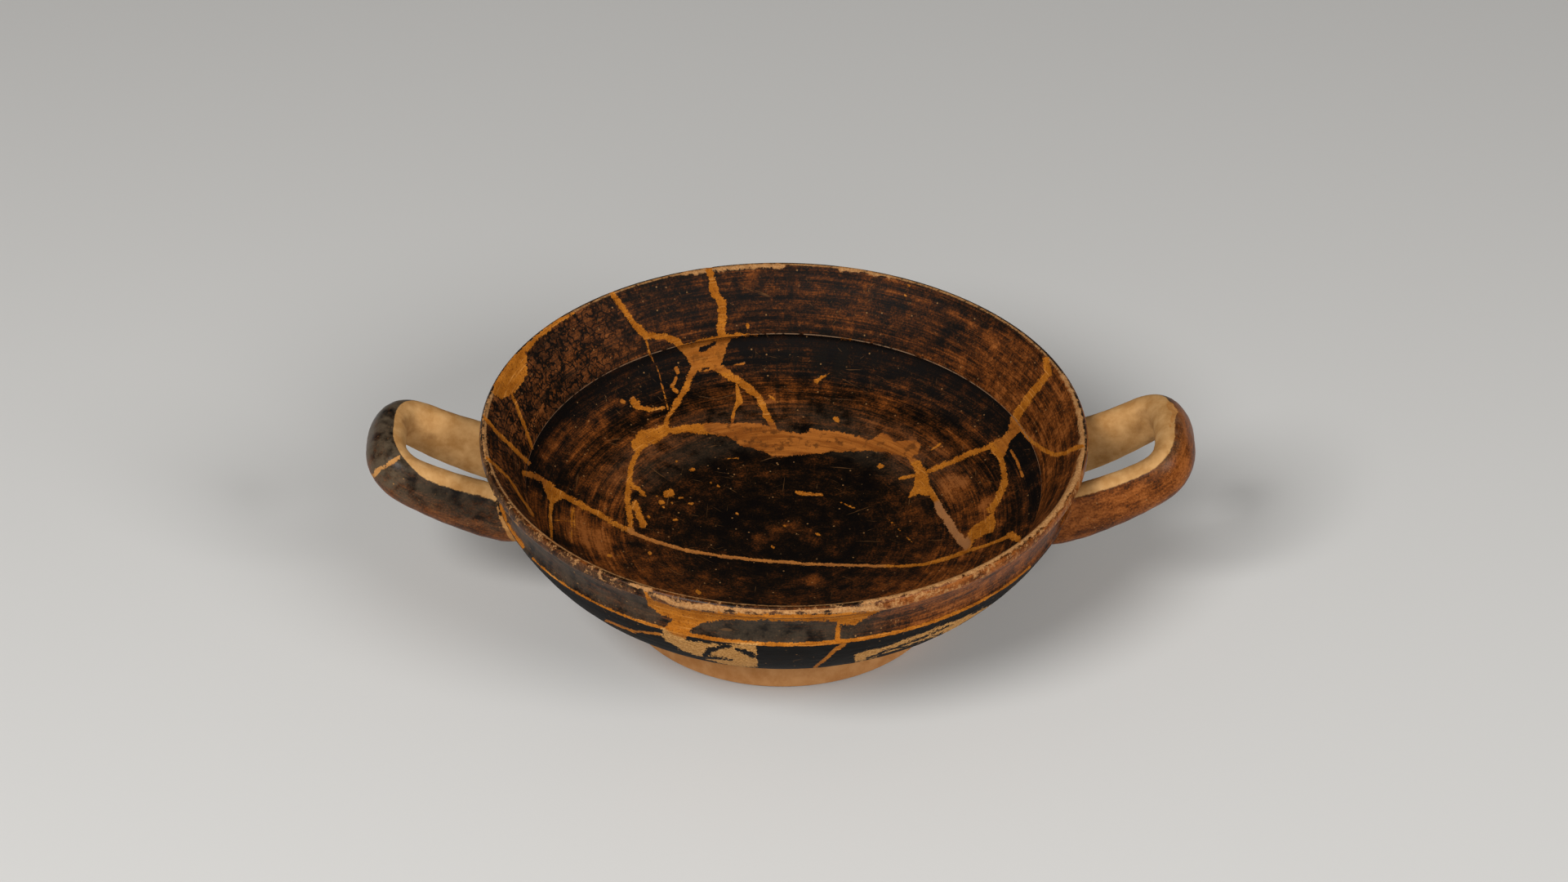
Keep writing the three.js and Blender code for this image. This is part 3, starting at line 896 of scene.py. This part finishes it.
wear = np.minimum(wear, np.where(outside & seen, shapes_distance(spots, {}, OUTSIDE_WEAR), FAR))
wear = np.where(outside & seen, np.maximum(wear, -shapes_distance(spots, OUTSIDE_REMNANTS, {})), wear)
tip = eased(np.abs(x), *AREA.tip)
top_share = np.where(right_loop, BARE.right_top, BARE.left_top - BARE.left_tip * tip)
handle_bare = (outward - BARE.edge - top_share * eased(upward, *BARE.top)) * STRAP_THICKNESS / 2
foot_bare = np.where(along < FOOT_END + BARE.reach, along - FOOT_END + BARE.foot, FAR)
bare = np.where(on_handle, handle_bare, foot_bare)

# Brown or black slip
in_lip = body * eased(along, CREST_ALONG, CREST_ALONG + CREST_WIDTH) * faded(along, STEP_ALONG, WALL_ALONG)
left_lip = faded(view_x, *VIEW.lip_left)
right_out = eased(view_x, *VIEW.out_right)
left_out = faded(view_x, *VIEW.out_left)
# The wall's top under the step is darkened as painted shade
mid_wall = eased(radius, *AREA.mid_wall) * (1 - TONE.shaded_upper_wall * eased(radius, *AREA.shaded_upper_wall))
front = eased(-y, *AREA.front_floor) * eased(radius, *AREA.centre)
sides = eased(np.abs(x), *AREA.sides) * faded(radius, *AREA.floor_edge)
tone = TONE.floor + TONE.mid_wall * mid_wall * (along > WALL_ALONG)
tone += TONE.front_floor * front + TONE.sides * sides
# The lip's right side is made lighter as painted light
lip_tone = (TONE.lip + TONE.lip_right * eased(x, *AREA.lip_right)
            - TONE.lip_back * eased(y, *AREA.lip_back) + TONE.lip_left * left_lip)
tone += (lip_tone - tone) * in_lip
tone += TONE.blush * (inside & seen) * faded(shapes_distance(spots, SOFT_SPOTS, {}), *BLUSH_EDGE)
right_tone = TONE.right_loop - TONE.right_loop_top * eased(upward, *STRAP.right_top)
left_tone = (TONE.left_loop + TONE.left_loop_under * eased(-upward, *STRAP.left_under)
             - TONE.left_loop_top * eased(upward, *STRAP.left_top))
tone = np.select([right_loop, on_handle, bead_out, lip_out, outside],
                 [right_tone, left_tone, TONE.bead + TONE.bead_right * right_out,
                  TONE.neck + TONE.neck_right * right_out + TONE.neck_left * left_out,
                  TONE.bowl + TONE.bowl_right * right_out], tone)

# Grey slip with a painted sheen, speckled, streaky and pale places, ruddy fills with painted shade under the
# step, and dull places
# sheen: a painted sheen, a soft grey highlight laid on the floor's back half
sheen = eased(radius, *AREA.sheen) * faded(radius, *AREA.sheen_end) * eased(y, *AREA.back)
# On the handles the grey is their dark grey slip, lighter along the tops and tips as a painted sheen
left_grey_and_sheen = (GREY_AND_SHEEN.left_loop + GREY_AND_SHEEN.left_tip * tip) * (1 - GREY_AND_SHEEN.under * eased(-upward, *STRAP.grey_and_sheen_under))
grey_and_sheen = np.select([right_loop, on_handle, bead_out, lip_out, on_floor, inside],
                 [GREY_AND_SHEEN.right_tip * eased(upward, *STRAP.grey_and_sheen_top) * tip, left_grey_and_sheen,
                  GREY_AND_SHEEN.bead * (1 - right_out), GREY_AND_SHEEN.neck * (1 - right_out), GREY_AND_SHEEN.sheen * sheen,
                  GREY_AND_SHEEN.lip_left * in_lip * left_lip], 0.0)
worn_crest = SPECKLE.crest * faded(along, CREST_ALONG, CREST_ALONG + SPECKLE.crest_reach)
speckle = np.select([right_loop, on_handle, bead_out, lip_out, inside],
                    [SPECKLE.right_loop, SPECKLE.left_loop, SPECKLE.bead + SPECKLE.bead_right * right_out,
                     SPECKLE.neck, worn_crest], 0.0)
in_middle = (along > INSIDE_ALONG) & (radius < STREAKY.radius)
streaky = np.select([on_handle, in_middle], [STREAKY.loop, STREAKY.floor], 1.0)
pale = np.zeros(count)
for name, strength in PALE_LINES.items():
    line_gap = shapes_distance(spots, {name: INSIDE_LINES[name]}, {})
    pale = np.maximum(pale, strength * eased(-line_gap, *PALE_EDGE) * inside)
light_patches = {name: OUTSIDE_PATCHES[name] for name in ("under_ridge", "right_wedge")}
light = faded(shapes_distance(spots, {}, light_patches), *LIGHT_EDGE) * (outside & seen)
crazed = in_lip * (CRAZED.all_round + CRAZED.left * left_lip)
behind = eased(view_x, *VIEW.drips) * faded(view_x, *VIEW.drips_end) * (y > 0)
drip = behind * (inside & seen) * faded(view_y, *VIEW.drips_foot)
band_gap = shapes_distance(spots, {}, {"ring_band": INSIDE_PATCHES["ring_band"]})
# Fills just under the step take the darker ruddy clay as painted shade
shade_under_step = inside & (along > STEP_ALONG + RUDDY_AND_SHADE.start) & (along < WALL_ALONG + RUDDY_AND_SHADE.reach)
ruddy_and_shade = np.select([shade_under_step, inside & (band_gap < RUDDY_AND_SHADE.band_reach)], [RUDDY_AND_SHADE.shade_under_step, RUDDY_AND_SHADE.band], 0.0)
below_top = along - WALL_ALONG
wall_top = eased(along, STEP_ALONG, WALL_ALONG) * faded(below_top, DULL.start, DULL.end)
inner_dull = inside * np.maximum(DULL.lip * in_lip, wall_top)
dull = np.where(outside, eased(RIDGE_ALONG - along, *DULL.ridge), inner_dull)

# Shallow relief: turned rings, sunk fills, the chip in the lip and the uneven handles
TOOL_RINGS = ((7.7, 0.5, 0.07), (13.2, 0.6, 0.049))
TURNING = ((0.035, 1.9), (0.02, 4.7))
TURNING_DRIFT = (0.8, 0.53)
BODY_SINK = 0.035
HANDLE_SINK = 0.05
UNEVENNESS = 0.05
UNEVEN_WAVES = (0.9, 1.3, 0.7, 0.6)
FLOOR_CENTRE = 2
FILL_DEPTH = 0.13
FILL_EDGE = (-0.45, 0.05)
CHIP_DEPTH = 0.35
CHIP_EDGE = (-1.6, 0.1)


def move_vertices(to):
    mesh.vertices.foreach_set("co", (to * MM).reshape(-1))
    mesh.update()


drift = TURNING_DRIFT[0] * np.sin(along * TURNING_DRIFT[1])
rings = TURNING[0][0] * np.sin(along * TURNING[0][1] + drift)
rings += TURNING[1][0] * np.sin(along * TURNING[1][1] + turn.real)
for ring_radius, ring_width, ring_depth in TOOL_RINGS:
    rings -= ring_depth * np.exp(-((radius - ring_radius) / ring_width) ** 2) * (along > WALL_ALONG)
wave_x, wave_y, wave_z, cross_wave = UNEVEN_WAVES
uneven = np.sin(x * wave_x + wave_y * y) * np.sin(z * wave_z + y * cross_wave)
chip_gap = shapes_distance(spots, {}, {"chip_left": INSIDE_PATCHES["chip_left"]})
turned_band = body & (along > FOOT_END) & (along < LAST_ALONG - FLOOR_CENTRE)
relief = np.select([on_handle, turned_band], [UNEVENNESS * uneven - HANDLE_SINK, rings - BODY_SINK], 0.0)
relief -= FILL_DEPTH * faded(fill, *FILL_EDGE) + CHIP_DEPTH * faded(chip_gap, *CHIP_EDGE) * (inside & seen)
move_vertices(places)
normals = np.empty(count * 3)
mesh.vertices.foreach_get("normal", normals)
move_vertices(places + normals.reshape(-1, 3) * relief[:, None])

# What the streaks follow: the turn and the profile on the body, the strap's section and run on a handle
STRAP_STREAKS = SimpleNamespace(section=1.3, run=0.12)
swirl = np.stack([turn.real, turn.imag, along], axis=1)
section, run = STRAP_STREAKS.section, STRAP_STREAKS.run
swirl[on_handle] = np.stack([section * outward, section * upward, run * travel], axis=1)[on_handle]
for name, values in (("wide_fill", wide_fill), ("narrow_fill", narrow_fill), ("wear", wear), ("bare", bare),
                     ("tone", tone), ("grey_and_sheen", grey_and_sheen), ("pale", pale), ("ruddy_and_shade", ruddy_and_shade), ("speckle", speckle),
                     ("streaky", streaky), ("dull", dull), ("light", light), ("crazed", crazed),
                     ("drip", drip), ("on_handle", on_handle)):
    layer = mesh.attributes.new(name, "FLOAT", "POINT")
    layer.data.foreach_set("value", np.asarray(values, np.float32))
layer = mesh.attributes.new("swirl", "FLOAT_VECTOR", "POINT")
layer.data.foreach_set("vector", swirl.astype(np.float32).reshape(-1))


# Material
def srgb(red, green, blue):
    def linear(value):
        value /= 255
        return value / 12.92 if value <= 0.04045 else ((value + 0.055) / 1.055) ** 2.4

    return (linear(red), linear(green), linear(blue), 1)


# The slip from black to light brown, by its tone
SLIP_TONES = ((0.0, (5, 2, 1)), (0.25, (20, 9, 2)), (0.48, (59, 29, 7)), (0.72, (104, 53, 14)),
              (1.0, (144, 82, 34)))
# Pairs of colours that a noise runs between
# The grey slip pair also paints the sheen on the floor
GREY_AND_SHEEN_SLIP = srgb(34, 29, 22), srgb(74, 62, 48)
WORN_SLIP = srgb(146, 99, 55), srgb(178, 131, 82)
ORANGE_CLAY = srgb(170, 114, 64), srgb(190, 136, 84)
LIGHT_CLAY = srgb(160, 114, 62), srgb(194, 150, 96)
FILL_CLAY = srgb(144, 80, 10), srgb(180, 108, 28)
LIGHT_FILL = srgb(204, 154, 92), srgb(160, 112, 54)
# The ruddy pair also paints the shade on fills under the step
RUDDY_AND_SHADED_CLAY = srgb(158, 92, 34), srgb(116, 60, 16)
# Single colours laid over the others
# A light grey laid on the handles' grey places, partly a painted sheen
LOOP_GREY_AND_SHEEN = srgb(112, 95, 74)
CRAZE_LINE = srgb(10, 6, 3)
DRIP = srgb(14, 9, 4)
STEP_SHADE = srgb(9, 4, 2)
SCRATCH = srgb(112, 76, 42)
PIT = srgb(150, 108, 64)
# A painted highlight along the step's edge, partly its worn slip
STEP_EDGE_HIGHLIGHT = srgb(138, 108, 82)
CLAY_STAIN = srgb(120, 80, 44)
FOOT_LINE = srgb(204, 162, 114)
FILL_DARK = srgb(112, 58, 8)
FILL_GRAIN = srgb(92, 52, 14)
FILL_STREAK = srgb(200, 134, 62)
RUDDY_DARK = srgb(84, 44, 14)
PALE_FILL = srgb(152, 104, 66)
# How far noise moves the edges of worn places, bare clay and fills, in millimetres: coarse, fine, grain
WORN_EDGE = (2.6, 1.6, 0)
BARE_EDGE = (0.6, 0.4, 0)
WIDE_EDGE = (1.7, 1.5, 0.5)
NARROW_EDGE = (0.9, 0.7, 0)
SCRATCH_TURNS = (0.45, 1.5, 2.5, -0.15)
SCRATCH_SHAPE = (0.06, 1.5, 0.4)
STREAK_SCALE = 2.2
# Each noise's scale, its detail and, where it isn't the usual one, its roughness
NOISE = SimpleNamespace(
    fine=(1.7, 5), edge=(0.42, 4), broad=(0.06, 3), mottle=(0.22, 5, 0.6), grain=(5.0, 3),
    streak=(1.0, 7, 0.66), thin_streak=(2.6, 6, 0.72), bend=(0.25, 3, 0.5), drip=(1.0, 2, 0.5),
    scratch=(1.0, 2, 0.5), pit=(31.0, 0), speck=(0.5, 7, 0.75), stain=(0.12, 5))
# How much each noise changes the slip's tone, and the gloss
PUSH = SimpleNamespace(streak=1.5, thin_streak=1.2, mottle=1.2, fine=0.9, grain=0.35, broad=0.6)
GLOSS_PUSH = SimpleNamespace(mottle=0.2, streak=0.25)
# How fast the streaks and drips change along the profile
STREAK_RUN = SimpleNamespace(coarse=0.6, thin=0.9, drip=0.04)
# What draws out, bends and scales the other patterns
DRIP_SHAPE = (10, 10, 1)
CRAZE = SimpleNamespace(bend=9, shape=(1.0, 1.0, 0.62), scale=0.34)
PIT_SCALE = 0.36
SCRATCH_DISTORTION = 0.6
# How much the speckle field moves the noise of the specks, and how much calmer a handle's mottle is
SPECKLE_GAIN = 0.2
LOOP_CALM = 0.5
# The range of the noise or distance that draws each layer. Those of worn, bare and fill are in millimetres.
EDGE = SimpleNamespace(
    grey_and_sheen=(0.3, 0.62), craze=(0.03, 0.15), craze_gaps=(0.26, 0.44), drip=(0.56, 0.64),
    scratch=(0.72, 0.76), pit=(0.04, 0.13), pit_pick=(0.46, 0.56), step_highlight=(0.36, 0.5),
    worn=(-0.25, 0.2), speck=(0.65, 0.74), crest=(0.44, 0.58), bare=(-0.12, 0.12), stain=(0.56, 0.72),
    fill=(-0.1, 0.1), fill_dark=(0.5, 0.72), fill_grain=(0.56, 0.7), fill_streak=(0.54, 0.66),
    light_fill=(0.35, 0.62), ruddy_and_shade=(0.4, 0.6), ruddy_dark=(0.52, 0.68), even=(0.3, 0.7),
    wide=(0.25, 0.75), narrow=(0.35, 0.65))
# Thin bands on the body: place along the profile, half width and soft edge
# The step's band carries a painted highlight, partly a worn edge
STEP_BAND = (STEP_ALONG - 0.1, 0.12, 0.25)
CREST_BAND = (CREST_ALONG + 0.35, 0.18, 0.35)
FOOT_BAND = (FOOT_END - 0.1, 0.15, 0.3)
# The shade below the step: where it starts and is full under the edge, and fades down the wall
SHADE_START, SHADE_FULL = 0.2, 0.6
SHADE_FALL, SHADE_END = 1, 9
# How strongly each layer covers what lies below it
SHARE = SimpleNamespace(
    loop_grey_and_sheen=0.36, drip=0.6, shade=0.8, scratch=0.4, pit=0.8, step_highlight=0.8, speck=0.85, crest=0.75,
    stain=0.5, foot_line=0.7, light=0.9, loop_fill=0.6, pale=0.75, matt_worn=0.8)
BUMP = SimpleNamespace(streak=0.12, fine=0.2, grain=0.45, matt=0.35, mark=0.3, craze=0.25)
GLOSS_ROUGHNESS = 0.34
MATT_ROUGHNESS = 0.8
DULL_ROUGHNESS = 0.4
CLAY_IOR = 1.5
CLAY_SPECULAR = 0.1
BUMP_STRENGTH = 0.55
BUMP_DISTANCE = 0.25
# The colour sockets of a mix node
MIX_FIRST, MIX_SECOND, MIX_RESULT = 6, 7, 2

material = bpy.data.materials.new("black_gloss_clay")
material.use_nodes = True
tree = material.node_tree
shader = tree.nodes["Principled BSDF"]


def put(socket, value):
    if isinstance(value, bpy.types.NodeSocket):
        tree.links.new(value, socket)
    else:
        socket.default_value = value


def node(kind, **inputs):
    """A new node; an input's name is its socket's, with _ for a space."""
    made = tree.nodes.new("ShaderNode" + kind)
    for name, value in inputs.items():
        put(made.inputs[name.replace("_", " ")], value)
    return made


def calc(operation, first, second, clamp=False):
    made = node("Math")
    made.operation = operation
    made.use_clamp = clamp
    put(made.inputs[0], first)
    put(made.inputs[1], second)
    return made.outputs[0]


def times(first, second):
    return calc("MULTIPLY", first, second)


def plus(first, second):
    return calc("ADD", first, second)


def less(first, second):
    return calc("SUBTRACT", first, second)


def most(first, second):
    return calc("MAXIMUM", first, second)


def attribute(name, output="Fac"):
    made = node("Attribute")
    made.attribute_name = name
    return made.outputs[output]


def ramp(value, low, high):
    """0 at low and 1 at high, eased."""
    made = node("MapRange", Value=value, From_Min=low, From_Max=high)
    made.interpolation_type = "SMOOTHSTEP"
    return made.outputs[0]


def below(value, low, high):
    """1 at low and 0 at high, eased."""
    return less(1.0, ramp(value, low, high))


def mix(share, first, second):
    made = node("Mix")
    made.data_type = "RGBA"
    put(made.inputs["Factor"], share)
    put(made.inputs[MIX_FIRST], first)
    put(made.inputs[MIX_SECOND], second)
    return made.outputs[MIX_RESULT]


def noise(vector, scale, detail, roughness=0.55, w=None, distortion=0.0, output="Fac"):
    made = node("TexNoise", Vector=vector, Scale=scale, Detail=detail, Roughness=roughness,
                Distortion=distortion)
    if w is not None:
        made.noise_dimensions = "4D"
        put(made.inputs["W"], w)
    return made.outputs[output]


def scaled(vector, factors, turn_by=0.0):
    """The vector turned about Z and then drawn out along its axes."""
    made = node("Mapping")
    made.vector_type = "TEXTURE"
    put(made.inputs["Vector"], vector)
    made.inputs["Scale"].default_value = [1 / factor for factor in factors]
    made.inputs["Rotation"].default_value = (0, 0, turn_by)
    return made.outputs[0]


def cells(vector, scale, feature="F1"):
    made = node("TexVoronoi")
    made.feature = feature
    put(made.inputs["Vector"], vector)
    put(made.inputs["Scale"], scale)
    return made


def around(value, amount):
    """A 0..1 noise turned into a push around zero that spans the given amount."""
    return times(less(value, 0.5), amount)


def band_at(centre, half, soft):
    """1 on a narrow band around the body at a place along its profile, and 0 elsewhere."""
    return times(below(calc("ABSOLUTE", less(profile_place, centre), 0.0), half, half + soft), off_loop)


def ragged(distance, pushes):
    """A distance whose edge the coarse, fine and grain noises move."""
    distance = plus(distance, plus(around(rough_edge, pushes[0]), around(fine, pushes[1])))
    return plus(distance, around(grain, pushes[2])) if pushes[2] else distance


spot = node("TexCoord").outputs["Object"]
point = scaled(spot, (1 / MM, 1 / MM, 1 / MM))
split = node("SeparateXYZ", Vector=attribute("swirl", "Vector"))
profile_place = split.outputs[2]
ring = node("CombineXYZ", X=times(split.outputs[0], STREAK_SCALE), Y=times(split.outputs[1], STREAK_SCALE))
ring = ring.outputs[0]
on_loop = attribute("on_handle")
off_loop = less(1.0, on_loop)
fine = noise(point, *NOISE.fine)
rough_edge = noise(point, *NOISE.edge)
broad = noise(point, *NOISE.broad)
mottle = noise(point, *NOISE.mottle)
grain = noise(point, *NOISE.grain)
streak = noise(ring, *NOISE.streak, times(profile_place, STREAK_RUN.coarse))
thin_streak = noise(ring, *NOISE.thin_streak, times(profile_place, STREAK_RUN.thin))

# Slip: black to brown, streaked around the wheel's axis
streaks = plus(around(streak, PUSH.streak), around(thin_streak, PUSH.thin_streak))
streaks = times(streaks, attribute("streaky"))
depth = plus(attribute("tone"), streaks)
depth = plus(depth, times(around(mottle, PUSH.mottle), less(1.0, times(on_loop, LOOP_CALM))))
for value, amount in ((fine, PUSH.fine), (grain, PUSH.grain), (broad, PUSH.broad)):
    depth = plus(depth, around(value, amount))
slip_ramp = node("ValToRGB", Fac=depth)
elements = slip_ramp.color_ramp.elements
while len(elements) < len(SLIP_TONES):
    elements.new(0.5)
for element, (position, colour) in zip(elements, SLIP_TONES):
    element.position = position
    element.color = srgb(*colour)
# Grey slip mixed in, which on the floor is a painted sheen
grey_and_sheen_share = times(attribute("grey_and_sheen"), ramp(mottle, *EDGE.grey_and_sheen))
slip = mix(grey_and_sheen_share, slip_ramp.outputs[0], mix(fine, *GREY_AND_SHEEN_SLIP))
# The handles' grey places are lightened further, partly as a painted sheen
slip = mix(times(times(grey_and_sheen_share, on_loop), SHARE.loop_grey_and_sheen), slip, LOOP_GREY_AND_SHEEN)

# Dark craze lines in the brown slip
swell = node("VectorMath")
swell.operation = "SCALE"
put(swell.inputs[0], noise(point, *NOISE.bend, output="Color"))
swell.inputs["Scale"].default_value = CRAZE.bend
bent = node("VectorMath")
bent.operation = "ADD"
put(bent.inputs[0], point)
put(bent.inputs[1], swell.outputs[0])
craze = cells(scaled(bent.outputs[0], CRAZE.shape), CRAZE.scale, "DISTANCE_TO_EDGE").outputs["Distance"]
craze_mask = times(below(craze, *EDGE.craze), attribute("crazed"))
craze_mask = times(craze_mask, ramp(rough_edge, *EDGE.craze_gaps))
slip = mix(craze_mask, slip, CRAZE_LINE)

# Dark drips down the back, and the shade under the step
drip_noise = noise(scaled(ring, DRIP_SHAPE), *NOISE.drip, times(profile_place, STREAK_RUN.drip))
drips = times(ramp(drip_noise, *EDGE.drip), attribute("drip"))
slip = mix(times(drips, SHARE.drip), slip, DRIP)
under_edge = times(ramp(profile_place, STEP_ALONG + SHADE_START, STEP_ALONG + SHADE_FULL), off_loop)
shade = times(under_edge, below(profile_place, WALL_ALONG + SHADE_FALL, WALL_ALONG + SHADE_END))
slip = mix(times(shade, SHARE.shade), slip, STEP_SHADE)

# Fine pale scratches and pits, and a painted highlight along the step's edge, partly its worn edge
scratch = 0.0
for turn_by in SCRATCH_TURNS:
    drawn = noise(scaled(point, SCRATCH_SHAPE, turn_by), *NOISE.scratch, None, SCRATCH_DISTORTION)
    scratch = most(scratch, ramp(drawn, *EDGE.scratch))
slip = mix(times(scratch, SHARE.scratch), slip, SCRATCH)
pit = cells(point, PIT_SCALE)
pit_pick = ramp(noise(pit.outputs["Position"], *NOISE.pit), *EDGE.pit_pick)
pits = times(below(pit.outputs["Distance"], *EDGE.pit), pit_pick)
slip = mix(times(pits, SHARE.pit), slip, PIT)
step_edge_highlight = times(band_at(*STEP_BAND), ramp(rough_edge, *EDGE.step_highlight))
slip = mix(times(step_edge_highlight, SHARE.step_highlight), slip, STEP_EDGE_HIGHLIGHT)

# Worn slip and bare clay
worn = below(ragged(attribute("wear"), WORN_EDGE), *EDGE.worn)
speck_noise = plus(noise(point, *NOISE.speck), times(attribute("speckle"), SPECKLE_GAIN))
worn = most(worn, times(ramp(speck_noise, *EDGE.speck), SHARE.speck))
crest = times(band_at(*CREST_BAND), ramp(speck_noise, *EDGE.crest))
worn = most(worn, times(crest, SHARE.crest))
colour = mix(worn, slip, mix(ramp(fine, *EDGE.narrow), *WORN_SLIP))
bare_mask = below(ragged(attribute("bare"), BARE_EDGE), *EDGE.bare)
stain = times(ramp(noise(point, *NOISE.stain), *EDGE.stain), SHARE.stain)
light_clay = mix(stain, mix(ramp(mottle, *EDGE.wide), *LIGHT_CLAY), CLAY_STAIN)
clay = mix(on_loop, mix(ramp(mottle, *EDGE.even), *ORANGE_CLAY), light_clay)
colour = mix(bare_mask, colour, clay)
colour = mix(times(band_at(*FOOT_BAND), SHARE.foot_line), colour, FOOT_LINE)

# Clay fills
wide_edge = ragged(attribute("wide_fill"), WIDE_EDGE)
narrow_edge = ragged(attribute("narrow_fill"), NARROW_EDGE)
fill_mask = below(calc("MINIMUM", wide_edge, narrow_edge), *EDGE.fill)
fill_clay = mix(ramp(mottle, *EDGE.even), *FILL_CLAY)
fill_clay = mix(ramp(fine, *EDGE.fill_dark), fill_clay, FILL_DARK)
fill_clay = mix(ramp(grain, *EDGE.fill_grain), fill_clay, FILL_GRAIN)
fill_clay = mix(ramp(thin_streak, *EDGE.fill_streak), fill_clay, FILL_STREAK)
light_fill = mix(ramp(fine, *EDGE.light_fill), *LIGHT_FILL)
fill_clay = mix(times(attribute("light"), SHARE.light), fill_clay, light_fill)
fill_clay = mix(times(on_loop, SHARE.loop_fill), fill_clay, light_clay)
# The ruddy clay: the ring band's own colour, and a painted shade on fills under the step
ruddy_and_shaded_clay = mix(ramp(streak, *EDGE.ruddy_and_shade), *RUDDY_AND_SHADED_CLAY)
ruddy_and_shaded_clay = mix(ramp(rough_edge, *EDGE.ruddy_dark), ruddy_and_shaded_clay, RUDDY_DARK)
fill_clay = mix(attribute("ruddy_and_shade"), fill_clay, ruddy_and_shaded_clay)
fill_clay = mix(times(attribute("pale"), SHARE.pale), fill_clay, PALE_FILL)
put(shader.inputs["Base Color"], mix(fill_mask, colour, fill_clay))

# Gloss and fine relief
matt = most(fill_mask, most(bare_mask, times(worn, SHARE.matt_worn)))
gloss = plus(GLOSS_ROUGHNESS, times(attribute("dull"), DULL_ROUGHNESS))
gloss = plus(gloss, plus(around(mottle, GLOSS_PUSH.mottle), around(thin_streak, GLOSS_PUSH.streak)))
roughness = calc("ADD", gloss, times(matt, less(MATT_ROUGHNESS, gloss)), clamp=True)
put(shader.inputs["Roughness"], roughness)
shader.inputs["IOR"].default_value = CLAY_IOR
shader.inputs["Specular IOR Level"].default_value = CLAY_SPECULAR
bumps = plus(times(thin_streak, BUMP.streak), times(fine, BUMP.fine))
bumps = plus(bumps, times(times(grain, matt), BUMP.grain))
for value, amount in ((matt, BUMP.matt), (most(scratch, pits), BUMP.mark), (craze_mask, BUMP.craze)):
    bumps = less(bumps, times(value, amount))
bump = node("Bump", Strength=BUMP_STRENGTH, Distance=BUMP_DISTANCE * MM, Height=bumps)
put(shader.inputs["Normal"], bump.outputs[0])

mesh.materials.clear()
mesh.materials.append(material)
mesh.shade_smooth()
mesh.set_sharp_from_angle(angle=SHARP_ANGLE)
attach(cup, "root")
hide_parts("kylix_cup")

# Floor, light and camera. Places and sizes are in metres, and powers in watts.
FLOOR_SIZE = 3.0
FLOOR_GAP = 0.0001
FLOOR_COLOUR = (0.62, 0.61, 0.59, 1)
FLOOR_ROUGHNESS = 0.9
LIGHT_TARGET = (0, 0, 0.04)
LIGHTS = {
    "key_light": ((-0.6, -0.8, 1.0), 0.6, 15),
    "side_light": ((0.85, -0.75, 0.8), 0.6, 9),
    "low_light": ((0.1, -1.5, 0.3), 1.2, 4.5),
}
WORLD_COLOUR = (1.0, 0.98, 0.95, 1)
WORLD_STRENGTH = 0.14
CAMERA_CLIP_END = 10

floor_mesh = bpy.data.meshes.new("floor")
half = FLOOR_SIZE / 2
floor_corners = [(-half, -half, 0), (half, -half, 0), (half, half, 0), (-half, half, 0)]
floor_mesh.from_pydata(floor_corners, [], [(0, 1, 2, 3)])
floor = bpy.data.objects.new("floor", floor_mesh)
floor.location.z = -FLOOR_GAP
bpy.context.collection.objects.link(floor)
pale_floor = bpy.data.materials.new("pale_floor")
pale_floor.use_nodes = True
floor_shader = pale_floor.node_tree.nodes["Principled BSDF"]
floor_shader.inputs["Base Color"].default_value = FLOOR_COLOUR
floor_shader.inputs["Roughness"].default_value = FLOOR_ROUGHNESS
floor_mesh.materials.append(pale_floor)


def soft_light(name, place, size, power):
    light = bpy.data.lights.new(name, "AREA")
    light.shape = "DISK"
    light.size = size
    light.energy = power
    made = bpy.data.objects.new(name, light)
    made.location = place
    made.rotation_euler = (Vector(LIGHT_TARGET) - Vector(place)).to_track_quat("-Z", "Y").to_euler()
    bpy.context.collection.objects.link(made)
    return made


key, side_light, low_light = (soft_light(name, *light) for name, light in LIGHTS.items())

world = bpy.data.worlds.new("studio")
world.use_nodes = True
world.node_tree.nodes["Background"].inputs["Color"].default_value = WORLD_COLOUR
world.node_tree.nodes["Background"].inputs["Strength"].default_value = WORLD_STRENGTH
bpy.context.scene.world = world
bpy.context.scene.view_settings.view_transform = "Standard"

camera_data = bpy.data.cameras.new("camera")
camera_data.sensor_width = SENSOR_WIDTH
camera_data.lens = SENSOR_WIDTH * FOCAL_PIXELS / PHOTO_WIDTH
camera_data.clip_end = CAMERA_CLIP_END
camera = bpy.data.objects.new("camera", camera_data)
camera.location = EYE * MM
camera.rotation_euler = (math.pi / 2 - CAMERA_TILT, 0, 0)
bpy.context.collection.objects.link(camera)
bpy.context.scene.camera = camera
